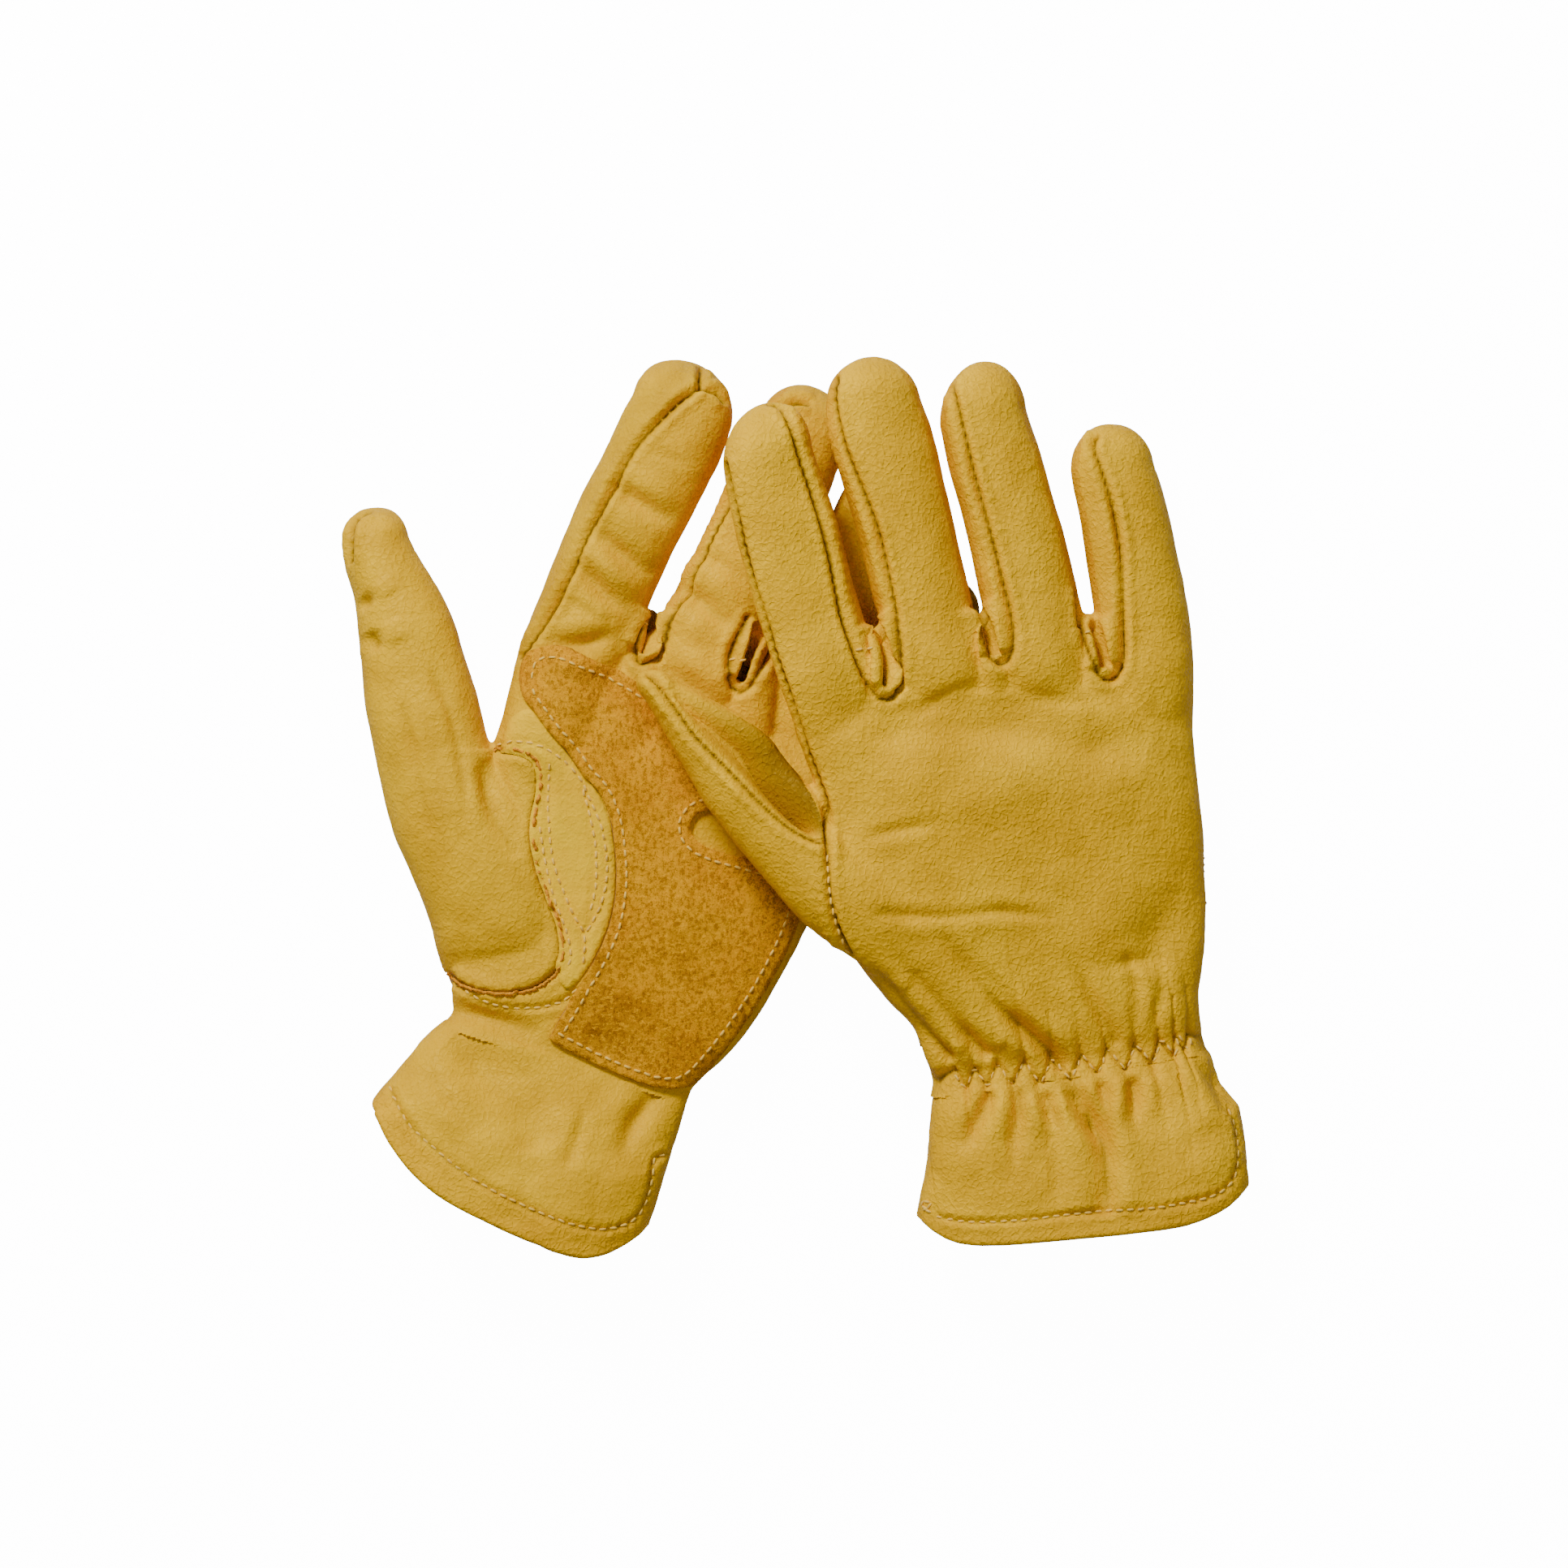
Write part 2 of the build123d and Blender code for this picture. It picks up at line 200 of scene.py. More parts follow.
# ------------------------------------------------------------------ seams and folds
# Each line is the name of its kind and its points. A kind is the width and depth of the dent, how dark it is
# and how much it puckers. Seams and sewn lines darken as the brown of their stitched joints, and a lap as its
# joint with painted shadow under the lapped edge. Every other kind darkens as painted shade in its hollow,
# and a strip is painted shade alone, on one side of its line, with no dent.

KINDS = {
    "seam": (0.95, 1.6, 1.0, 0.2),
    "lap": (1.0, 0.8, 0.7, 0.15),
    "sewn": (0.8, 0.55, 0.5, 0.5),
    "fold": (2.6, 2.4, 0.3, 0.0),
    "crease": (1.5, 0.9, 0.16, 0.0),
    "ridge": (2.3, 3.0, 0.28, 0.0),
    "strip": (9.0, 0.0, 0.17, 0.0),
    "faint": (1.6, 0.6, 0.08, 0.0),
    "run": (1.9, 2.5, 0.35, 0.0),
    "run_deep": (2.0, 3.4, 0.6, 0.0),
    "deep": (2.6, 4.2, 0.6, 0.0),
    "hollow": (6.5, 2.6, 0.1, 0.0),
    "slit": (1.3, 5.0, 1.0, 0.0),
    "pit": (2.8, 1.6, 0.42, 0.0),
}
# Length over which the ends of a line rise to its full depth, for the kinds that end sharply.
TAPER = {"seam": 1.5, "lap": 1.5, "sewn": 1.5, "slit": 1.5, "pit": 2.5}

BACK_LINES = [
    ("seam", [(-8.7, 114.6), (-4.6, 113.8), (-2.1, 110.3), (-0.1, 105.3), (2.4, 96.7), (6.5, 84.6),
              (10, 71.5), (12.5, 58.4), (16.5, 45.2), (20.1, 35.7), (22.6, 31.6), (25.3, 30.2), (28.1, 31.6),
              (29.9, 36.2), (29.9, 44.2), (28.6, 52), (26.6, 63), (22.6, 79.5), (17, 93.7), (13.5, 101.5),
              (11, 111.8), (10.7, 117.9), (12, 123)]),
    ("seam", [(50.2, 58), (52.9, 49.3), (55.5, 42.2), (58.6, 40.4), (61, 42.7), (61.7, 47.3), (60.9, 54.3),
              (57.9, 66.4), (54.9, 78.5), (50.8, 92.6), (48.3, 104), (46, 113.5), (44, 120.8), (47, 124.6)]),
    ("seam", [(80.4, 63), (81.6, 50.3), (83.6, 43.2), (86.7, 37.2), (89.2, 36), (91.6, 37.6), (93.1, 42.2),
              (93.2, 48), (93, 59.4), (92.7, 71.5), (91.2, 81.6), (89.2, 89.6), (86.6, 97.6), (84.8, 103.2),
              (86.5, 107)]),
    ("seam", [(-20.4, 98), (-18.9, 91), (-17.2, 83.6), (-14.5, 72.5), (-10.6, 57.3), (-6.4, 44.2),
              (-2.2, 32.1), (1.6, 20), (5.6, 8.9), (8.6, -0.7), (9.2, -12.8), (9.6, -24.4), (12, -34.9),
              (16.8, -44.4), (21, -50)]),
    ("run_deep", [(38, -33), (45.9, -41.8), (52.6, -50.2), (60.1, -58.5), (67.7, -65.2), (74.4, -71.9),
                  (77.3, -75.7)]),
    ("run", [(25.8, -38.4), (34.2, -48.5), (41.7, -56.8), (48.4, -64.4), (55.9, -71.9)]),
    ("run", [(20.8, -43.4), (29.1, -54.4), (37.5, -64.4), (45, -72.8)]),
    ("run", [(78, -42), (81.9, -49.3), (86.1, -57.7), (89.9, -63.6), (92, -69)]),
    ("crease", [(52, -44), (62, -56), (69, -64)]),
    ("crease", [(104, -44), (104, -54), (101, -64)]),
    ("crease", [(94, -40), (97, -52), (97, -64)]),
    ("crease", [(20.7, -29.6), (40.7, -30.7), (57.6, -29.3), (73.4, -31.2)]),
    ("crease", [(88, -45), (97, -43.4), (106, -43)]),
    ("crease", [(18.6, -8.5), (30, -6), (40.7, -4.3)]),
    ("hollow", [(18, 20), (45, 24), (75, 21), (100, 16)]),
    ("faint", [(32, 26), (48, 34), (55, 33)]),
    ("faint", [(64, 33), (76, 30), (84, 31)]),
    ("hollow", [(100, -48), (104, -34), (108, -22)]),
    # Slits: dented gaps at the forks, painted dark as the shade down in them.
    ("slit", [(21.5, 54), (24.6, 49), (26.3, 42), (25.7, 33.5)]),
    ("slit", [(51.4, 58), (54.9, 50.4), (56.6, 43)]),
    ("slit", [(84.4, 53.5), (86.4, 48.5), (88.2, 39.6)]),
]

THUMB_SEAM = [(-43, 38.4), (-39.9, 36.3), (-36.2, 30.4), (-29.5, 21), (-22, 13.3), (-15.4, 6.6), (-8, -0.7),
              (-0.6, -6.5), (8.3, -10.4)]

INDEX_SEAM = [(-26.9, 120.2), (-32.5, 116.2), (-38, 111), (-45.5, 102.8), (-51.4, 92.6), (-55.2, 84.8),
              (-59.4, 77.6), (-63, 69.4), (-67.2, 60.4), (-70.5, 54.5), (-74.2, 48.9), (-79.5, 42)]

PALM_LINES = [
    ("seam", [(-42.8, 54.5), (-45.6, 47.5), (-46.2, 44), (-44.5, 41.5), (-42.4, 41.2), (-39.4, 42.9),
              (-37.2, 47), (-35.4, 53.6), (-31.6, 62), (-27, 71.2), (-22.6, 80), (-18, 89), (-13, 99),
              (-8.6, 108.4), (-4.6, 113.6), (0, 116.2), (5, 115.4)]),
    ("seam", [(-13, 55.4), (-17.6, 46.8), (-19.3, 40), (-18.6, 35.2), (-16.2, 33), (-12.8, 35), (-9.5, 40.6),
              (-6, 47)]),
    ("seam", INDEX_SEAM),
    ("seam", [(-26.9, 127), (-26.9, 120.2), (-22.8, 118.9), (-19.6, 115)]),
    ("seam", [(-121, 85.2), (-125, 83.4), (-127, 79), (-127.3, 69)]),
    ("ridge", [(-53, 93.4), (-47, 88.7), (-39, 84), (-34, 82.5)]),
    ("ridge", [(-58, 79), (-54.4, 76.6), (-48.3, 71.3), (-40.3, 65.9)]),
    ("ridge", [(-63, 70), (-60.4, 67.9), (-53.7, 60.5), (-47, 55.9)]),
    ("ridge", [(-71, 47.1), (-60.4, 46.5), (-51, 49.9)]),
    ("crease", [(-64, 60), (-58, 55), (-52, 52.5)]),
    ("crease", [(-42, 101.5), (-36, 100), (-30.2, 97.4)]),
    # Painted shade on the index finger's outer side wall, beside its seam.
    ("strip", INDEX_SEAM),
    ("fold", [(-36, 64), (-29, 60.5), (-21, 54), (-14, 52)]),
    ("crease", [(-30, 73), (-22, 70), (-14, 64)]),
    ("fold", [(-38, 39), (-30, 35), (-20, 27)]),
    # Slits: dented gaps at the forks, painted dark as the shade down in them.
    ("slit", [(-39.5, 57), (-41.6, 49), (-44.4, 44)]),
    ("slit", [(-10.6, 53), (-13.4, 44), (-16, 35.7)]),
    ("pit", [(-124.6, 60.4), (-122.8, 58.6), (-121.6, 56.4)]),
    ("pit", [(-122.6, 50.6), (-121, 47.6), (-119.6, 44)]),
    ("fold", [(-88.5, 14), (-87.5, 6), (-84.5, -4), (-79, -14)]),
    ("crease", [(-84, 13), (-82, 5), (-78.5, -3)]),
    ("crease", [(-104, 40), (-98, 26), (-95, 10), (-93, -6)]),
    ("crease", [(-112, 30), (-108, 12), (-104, -8)]),
    ("fold", [(-99, -57), (-92, -59), (-84, -61), (-72, -64)]),
    ("lap", [(-86.6, 16.3), (-81.8, 16.1), (-76.6, 15.1), (-73.6, 11.9), (-73.4, 5.6), (-74.7, -0.7),
             (-75.3, -8), (-73.9, -16.6), (-71.3, -25), (-67.9, -33.4), (-66.9, -40.8), (-68, -46),
             (-71.3, -49.2), (-75.5, -51.4), (-81.8, -52.4), (-89.2, -51.9), (-95.5, -49.8), (-99.2, -47)]),
]

CUFF_LINES_RIGHT = [
    ("deep", [(78, -78), (81, -83.5), (83.9, -88.7), (87.1, -95), (87.9, -103.4), (87.5, -116)]),
    ("run", [(88, -104), (87.4, -97.4), (85.4, -91.2), (81.8, -86), (77.9, -79)]),
    ("run", [(46.2, -98.5), (49.5, -93.1), (52.8, -86.5), (56, -79.5)]),
    ("run", [(61.5, -106), (61.6, -96.3), (63.2, -85.4), (63.6, -78.6)]),
    ("run", [(95, -92), (96.2, -83), (96, -75.6)]),
    ("run", [(77, -96), (73.5, -87), (70.6, -79.6)]),
    ("run", [(88, -93), (88, -84), (86.6, -76.6)]),
    ("crease", [(106, -73), (112, -81), (115, -88)]),
    ("crease", [(72, -92), (74, -103), (73, -112)]),
    ("fold", [(112, -70), (119, -78), (124, -88)]),
]
CUFF_LINES_LEFT = [
    ("hollow", [(-98, -66), (-86, -77), (-76, -88), (-72, -97)]),
    ("fold", [(-92, -58), (-80, -62), (-68, -66)]),
    ("crease", [(-60, -84), (-62, -94), (-66, -104)]),
    ("fold", [(-38, -80), (-46, -90), (-50, -100)]),
    ("crease", [(-104, -76), (-98, -84), (-92, -92)]),
]

THUMB_RIM = [(-41, 37.8), (-30, 33), (-18.6, 27.5), (-8, 20.6), (0.6, 10), (6, 0), (9, -8)]

PEAKS = [(44.9, -75.5), (50.9, -74.5), (57.6, -73.4), (65, -72.7), (73.2, -71.8), (81.6, -70.8), (89, -69.2),
         (97.1, -68.1), (104.5, -66.5), (109.2, -65), (113.2, -64.4)]
VALLEYS = [(48.1, -79.2), (54.4, -78.7), (61.6, -78.1), (69.7, -77.6), (78.1, -76.6), (86, -75), (94, -74.1),
           (101.9, -72.1), (108.2, -70.2), (111.9, -68.9)]
ZIG = [p for pair in zip(PEAKS, VALLEYS) for p in pair] + PEAKS[-1:]
PALM_THREAD = [
    [(-86, 17.7), (-79.7, 18.8), (-73.4, 17.7), (-67, 14), (-61.8, 8.8), (-58.6, 2.4), (-55.5, -5),
     (-53.9, -13.4), (-53.9, -20.8), (-56, -29), (-60.2, -36.6)],
    [(-60.7, 5.6), (-58, -5), (-56.8, -13.4), (-57, -22.9), (-59.2, -32.4)],
    [(-70, 13), (-70.4, 5.6), (-70.4, -2.8), (-69.4, -13.4), (-67, -21.8), (-63.4, -30.3), (-60.2, -36.6),
     (-60.7, -47)],
    [(-72.9, -5), (-71.3, -15.5), (-68.7, -26), (-65.5, -34.5), (-64, -41.9), (-65.5, -47)],
    [(-61.8, -51.4), (-67, -55.6), (-75.5, -57.2), (-83.9, -56.6), (-91.3, -54), (-97.7, -49.8)],
]
RIGHT_HEM = [(39.6, -116.1), (48, -117.4), (58.6, -117.2), (69.2, -116.3), (79.7, -115), (90.3, -114),
             (100.8, -113.4), (111.4, -111.9), (119.8, -109.6), (124.5, -105.6), (125.9, -99.2),
             (125.3, -91.8), (122.9, -84.5)]
LEFT_HEM = [(-116, -78.8), (-113.5, -84), (-109.3, -90.4), (-102.9, -96.2), (-96.6, -101.4), (-88.2, -107.2),
            (-79.7, -111.5), (-69.2, -116.2), (-60.7, -118.8), (-54.4, -119.7), (-49, -118.8),
            (-44.9, -116.2), (-42.3, -111.5), (-40.7, -105), (-39.9, -99.9), (-35.4, -99)]
RIGHT_WRIST = ((40, -78), (116, -66))
LEFT_WRIST = ((-99, -58.5), (-29, -81))


def wrist_axes(wrist):
    """Start of a wrist line, its direction, the direction from it to the fingers, and its length."""
    a, b = np.array(wrist[0], float), np.array(wrist[1], float)
    size = np.linalg.norm(b - a)
    d = (b - a) / size
    return a, d, np.array([-d[1], d[0]]), size


def line_up(points, wrist):
    """Points as shares of the wrist's width along it and millimetres above it."""
    a, d, up, size = wrist_axes(wrist)
    off = np.array(points, float) - a
    return np.stack([off @ d / size, off @ up], 1)


ZIGZAG = line_up(ZIG, RIGHT_WRIST)

# ------------------------------------------------------------------ curves and fields


def curve(points, step=1.0):
    """Smooth line through the points, in equal steps."""
    p = np.array(points, float)
    q = np.vstack([2 * p[0] - p[1], p, 2 * p[-1] - p[-2]])
    t = np.linspace(0, 1, 12, endpoint=False)[:, None]
    runs = []
    for i in range(1, len(q) - 2):
        a, b, c, d = q[i - 1 : i + 3]
        runs.append(0.5 * (2 * b + (c - a) * t + (2 * a - 5 * b + 4 * c - d) * t**2
                           + (3 * b - a - 3 * c + d) * t**3))
    dense = np.vstack(runs + [p[-1:]])
    length = np.r_[0, np.cumsum(np.linalg.norm(np.diff(dense[:, :2], axis=0), axis=1))]
    s = np.linspace(0, length[-1], max(2, int(round(length[-1] / step))) + 1)
    return np.stack([np.interp(s, length, dense[:, k]) for k in range(dense.shape[1])], 1)


def near(xy, path, reach):
    """Indices of the points within reach of a path, with their distance, signed side and place along it."""
    low, high = path.min(0) - reach, path.max(0) + reach
    index = np.where(((xy > low) & (xy < high)).all(1))[0]
    p = xy[index]
    best, side, along = np.full(len(p), 1e9), np.zeros(len(p)), np.zeros(len(p))
    run = 0.0
    for a, b in zip(path[:-1], path[1:]):
        d = b - a
        size = np.hypot(*d)
        t = np.clip(((p - a) @ d) / size**2, 0, 1)
        off = p - a - t[:, None] * d
        far = np.hypot(off[:, 0], off[:, 1])
        closer = far < best
        best[closer] = far[closer]
        along[closer] = run + t[closer] * size
        side[closer] = np.sign(d[0] * off[closer, 1] - d[1] * off[closer, 0])
        run += size
    keep = best < reach
    return index[keep], best[keep], side[keep], along[keep], run


def within(points, loop):
    """Which of the points lie inside a closed loop."""
    inside = np.zeros(len(points), bool)
    for a, b in zip(loop, np.roll(loop, -1, 0)):
        rise = b[1] - a[1] if abs(b[1] - a[1]) > 1e-9 else 1e-9
        crosses = (a[1] > points[:, 1]) != (b[1] > points[:, 1])
        inside ^= crosses & (points[:, 0] < (b[0] - a[0]) * (points[:, 1] - a[1]) / rise + a[0])
    return inside


def oval(count, power):
    """Points round a section from -1 to 1: the higher the power, the squarer it is."""
    angle = np.linspace(0, 2 * math.pi, count, endpoint=False)
    c, s = np.cos(angle), np.sin(angle)
    return np.sign(c) * np.abs(c) ** (2 / power), np.sign(s) * np.abs(s) ** (2 / power)


def lattice(rows, around):
    """Four-cornered faces between rows of points, each row closed round on itself."""
    i, j = np.meshgrid(np.arange(rows - 1), np.arange(around), indexing="ij")
    a, b = i * around + j, i * around + (j + 1) % around
    return np.stack([a, b, b + around, a + around], -1).reshape(-1, 4)


def lumps(points, size, seed):
    """Smooth random field from -1 to 1 whose lumps are about this size."""
    grid = np.random.default_rng(seed).uniform(-1, 1, (32, 32, 32))
    q = np.asarray(points) / np.asarray(size, float)
    i = np.floor(q).astype(int)
    f = q - i
    f = f * f * (3 - 2 * f)
    total = 0.0
    for corner in np.ndindex(2, 2, 2):
        w = np.prod(np.where(corner, f, 1 - f), axis=1)
        k = (i + corner) % 32
        total = total + w * grid[k[:, 0], k[:, 1], k[:, 2]]
    return total


def smooth_step(x, low, high):
    """0 below low, 1 above high, and a smooth rise between them."""
    t = np.clip((x - low) / (high - low), 0, 1)
    return t * t * (3 - 2 * t)


def on_right_palm(points):
    """Carries a line of the left palm to the same place on the right one."""
    here, there = np.array(LEFT_WRIST).mean(0), np.array(RIGHT_WRIST).mean(0)
    p = np.array(points, float) - here
    c, s = math.cos(PALM_TURN), math.sin(PALM_TURN)
    return np.stack([p[:, 0] * c + p[:, 1] * s, p[:, 1] * c - p[:, 0] * s], 1) + there


# ------------------------------------------------------------------ skin


def tube(parts, mid, power, tip, rungs, ring=40):
    """Adds one closed tube through its rungs, rounded off at the tip."""
    rows = curve(np.array(rungs, float), 4.0)
    left, right = rows[:, 0:2], rows[:, 2:4]
    centre, half, thick = (left + right) / 2, (right - left) / 2, rows[:, 4:6]
    last, reach = centre[-1], np.array(tip, float) - centre[-1]
    for t in (0.25, 0.48, 0.66, 0.8, 0.9, 0.965, 0.995):
        share = math.sqrt(1 - t * t)
        centre = np.vstack([centre, last + reach * t])
        half = np.vstack([half, half[len(rows) - 1] * share])
        thick = np.vstack([thick, thick[len(rows) - 1] * (0.25 + 0.75 * share if power > 2.5 else share)])
    u, v = oval(ring, power)
    xy = centre[:, None, :] + half[:, None, :] * u[None, :, None]
    th = thick[:, :1] + (thick[:, 1:] - thick[:, :1]) * (u[None, :] + 1) / 2
    z = mid(xy[..., 0], xy[..., 1], th) + v[None, :] * th
    start = len(parts[0])
    n = len(centre)
    parts[0].extend(np.dstack([xy, z]).reshape(-1, 3).tolist())
    parts[1].extend((start + lattice(n, ring)).tolist())
    parts[1].append(tuple(start + j for j in reversed(range(ring))))
    parts[1].append(tuple(start + (n - 1) * ring + j for j in range(ring)))


def merged(parts, size):
    """One even skin round all the tubes: vertices and four-cornered faces."""
    mesh = bpy.data.meshes.new("skin")
    mesh.from_pydata(parts[0], [], parts[1])
    lump = stand("skin", mesh)
    grown = lump.modifiers.new("merge", "REMESH")
    grown.mode = "VOXEL"
    grown.voxel_size = size
    soft = lump.modifiers.new("soften", "SMOOTH")
    soft.factor, soft.iterations = 0.5, int(9 / size)
    done = bpy.data.meshes.new_from_object(lump.evaluated_get(bpy.context.evaluated_depsgraph_get()))
    co = np.zeros(len(done.vertices) * 3)
    done.vertices.foreach_get("co", co)
    quads = np.zeros(len(done.loops), int)
    done.loops.foreach_get("vertex_index", quads)
    bpy.data.objects.remove(lump)
    bpy.data.meshes.remove(done)
    return co.reshape(-1, 3), quads.reshape(-1, 4)


def normals(co, quads):
    """Normal at each vertex."""
    face = np.cross(co[quads[:, 2]] - co[quads[:, 0]], co[quads[:, 3]] - co[quads[:, 1]])
    out = np.zeros_like(co)
    for k in range(4):
        np.add.at(out, quads[:, k], face)
    return out / np.maximum(np.linalg.norm(out, axis=1), 1e-9)[:, None]


def dent(co, nrm, lines, top, amount, dark):
    """Lowers the skin along each line, darkens seams and laps as their joints, and paints shade into folds,
    creases, slits, pits and hollows. top is 1 for the upper side, else -1.
    """
    facing = smooth_step(nrm[:, 2] * top, -0.05, 0.35)
    for kind, points in lines:
        width, depth, shade, pucker = KINDS[kind]
        reach = 14 if kind == "lap" else width * 5
        index, far, side, along, total = near(co[:, :2], curve(points, 2.5), reach)
        # A strip has no dent: painted shade along one side of its line, for a side wall turned from the
        # light.
        if kind == "strip":
            painted_side_shade = facing[index] * (side < 0) * shade * smooth_step(width - far, -2, 2)
            dark[index] = np.maximum(dark[index], painted_side_shade * smooth_step(far, 0, 1))
            continue
        share = along / total
        if kind in ("run", "run_deep"):
            ends = smooth_step(share, -0.1, 0.85) * smooth_step(total - along, 0, 3)
        elif kind in TAPER:
            ends = smooth_step(along, 0, TAPER[kind]) * smooth_step(total - along, 0, TAPER[kind])
        else:
            ends = (4 * np.clip(share, 0, 1) * np.clip(1 - share, 0, 1)) ** 0.6 * min(1.0, total / 34)
        wave = 1 + pucker * np.sin(along * 2 * math.pi / 3.1) + 0.35 * np.sin(along / 5.3)
        valley = np.exp(-((far / width) ** 2)) - 0.38 * np.exp(-(((far - 2.5 * width) / (1.4 * width)) ** 2))
        amount[index] -= facing[index] * ends * depth * valley * wave
        if kind == "lap":
            step = np.where(side < 0, 1.1 * np.exp(-far / 6), -0.3 * np.exp(-far / 3))
            amount[index] += facing[index] * step
        # Darkness: the brown of a seam's joint, painted shade along every other kind.
        mark = facing[index] * ends * shade * np.exp(-((far / (0.42 * width + 0.1)) ** 2))
        dark[index] = np.maximum(dark[index], mark)


def shirr(co, nrm, wrist, top, amount, dark):
    """Gathers the leather on the wrist's elastic: ridges above and below a zigzag line, half a step apart,
    with painted shade in the valleys between them and a dark line along the zigzag seam.
    """
    a, d, up, size = wrist_axes(wrist)
    off = co[:, :2] - a
    along, above = off @ d, off @ up
    stop = np.r_[-12, -5.5, ZIGZAG[:, 0] * size, size + 3, size + 9]
    count = np.r_[-1.0, -0.5, np.arange(len(ZIGZAG)) * 0.5, len(ZIGZAG) * 0.5, len(ZIGZAG) * 0.5 + 0.5]
    level = np.r_[0, 0, ZIGZAG[:, 1], 0, 0]
    phase = np.interp(along + 0.5 * lumps(co * [1, 1, 0], 9, 5), stop, count)
    off_line = above - np.interp(along, stop, level)
    facing = smooth_step(nrm[:, 2] * top, -0.3, 0.3)
    low, high = np.abs(np.cos(math.pi * phase)), np.abs(np.sin(math.pi * phase))
    ridge = np.where(off_line < 0, low, high)
    each_one = np.stack([np.floor(phase * 2) * 3.7, off_line * 0 + top, off_line * 0], 1)
    each = 0.75 + 0.5 * lumps(each_one, 2.2, 6)
    reach = np.where(off_line < 0, 13.0, 10.0) * each
    fade = np.exp(-np.abs(off_line) / reach)
    amount -= facing * fade * 3.0 * each * (1 - ridge) ** 1.5
    amount -= facing * 1.6 * np.exp(-((above / 5.5) ** 2))
    amount -= facing * 1.1 * np.exp(-((off_line / 0.9) ** 2))
    # Painted shade in the valleys between the gathers.
    dark[:] = np.maximum(dark, facing * 0.3 * fade * (1 - ridge) ** 5)
    # Dark line of the zigzag seam that holds the elastic.
    dark[:] = np.maximum(dark, facing * 0.5 * np.exp(-((off_line / 0.6) ** 2)))


def cavity(co, nrm, seam, rim, amount, dark):
    """Sinks the thumb's inner side between its ridge seam and its upper edge, and paints shade on it that
    deepens towards the edge, under the palm's overhang.
    """
    path, edge = curve(seam, 2.0), curve(rim, 2.0)
    index, far, _, along, total = near(co[:, :2], path, 22.0)
    inside = within(co[index, :2], np.vstack([path, edge[::-1]]))
    index, far, along = index[inside], far[inside], along[inside]
    edge_far = np.full(len(co), 9.0)
    found, gap = near(co[:, :2], edge, 9.0)[:2]
    edge_far[found] = gap
    facing = smooth_step(nrm[index, 2], 0.0, 0.3)
    deeper = 0.35 + 0.65 * smooth_step(along / total, 0.05, 0.8)
    sink = facing * deeper * (1 - np.exp(-((far / 3.2) ** 2))) * smooth_step(edge_far[index], 0, 3.5)
    amount[index] -= THUMB_HOLLOW * sink
    # Painted shade under the palm's overhang: none at the seam, darkest at the rim.
    inner = far / (far + edge_far[index] + 0.5)
    lit = smooth_step(nrm[index, 2], -0.35, 0.05)
    shade = 0.95 * lit * inner**1.6 * smooth_step(along / total, 0.05, 0.75)
    dark[index] = np.maximum(dark[index], shade)


def wrinkle(co, amount, strength=1.0):
    """Soft unevenness of worn leather."""
    amount += strength * (0.75 * lumps(co, 24, 1) + 0.38 * lumps(co, (13, 9, 13), 2) + 0.16 * lumps(co, 5, 3))
    ridge = 1 - np.abs(lumps(co, (17, 10, 14), 4)) * 3
    amount -= strength * 0.2 * np.clip(ridge, 0, 1) ** 2


def settle(co, nrm, amount):
    """Moves the skin by the amounts and keeps it above the surface that it lies on."""
    out = co + nrm * amount[:, None]
    out[:, 2] = np.maximum(out[:, 2], 0.15)
    return out


def skin(glove, wrist, top_lines, bottom_lines, gathers):
    """The glove's whole leather skin, shaped: vertices, faces, how dark each vertex is (seam brown and
    painted shade) and its normal.
    """
    parts = ([], [])
    for mid, power, tip, rungs in glove.values():
        tube(parts, mid, power, tip, rungs)
    co, quads = merged(parts, FINE)
    nrm = normals(co, quads)
    amount, dark = np.zeros(len(co)), np.zeros(len(co))
    wrinkle(co, amount, 0.6)
    dent(co, nrm, top_lines, 1, amount, dark)
    dent(co, nrm, bottom_lines, -1, amount, dark)
    shirr(co, nrm, wrist, gathers, amount, dark)
    if glove is RIGHT:
        cavity(co, nrm, THUMB_SEAM, THUMB_RIM, amount, dark)
    co = settle(co, nrm, amount)
    return co, quads, dark, normals(co, quads), nrm[:, 2] > 0


def finger_place(xy, rungs, tip):
    """Share across a finger, -1 to 1, and place along it in mm from its first rung, for each point."""
    rows = np.array(rungs, float)
    middle = np.vstack([(rows[:, 0:2] + rows[:, 2:4]) / 2, tip])
    line = curve(middle, 3.0)
    half = np.r_[np.hypot(*(rows[:, 2:4] - rows[:, 0:2]).T) / 2, 8.0]
    spot = np.r_[0, np.cumsum(np.hypot(*np.diff(middle, axis=0).T))]
    index, far, side, along, total = near(xy, line, 60.0)
    across, place = np.full(len(xy), 9.0), np.full(len(xy), -1.0)
    across[index] = -side * far / np.interp(along, spot, half)
    place[index] = along
    beyond = along >= total - 1e-6
    place[index[beyond]] = total
    return across, place


# ------------------------------------------------------------------ pieces


def stand(name, data):
    """Object in the scene with this data."""
    made = bpy.data.objects.new(name, data)
    bpy.context.scene.collection.objects.link(made)
    return made


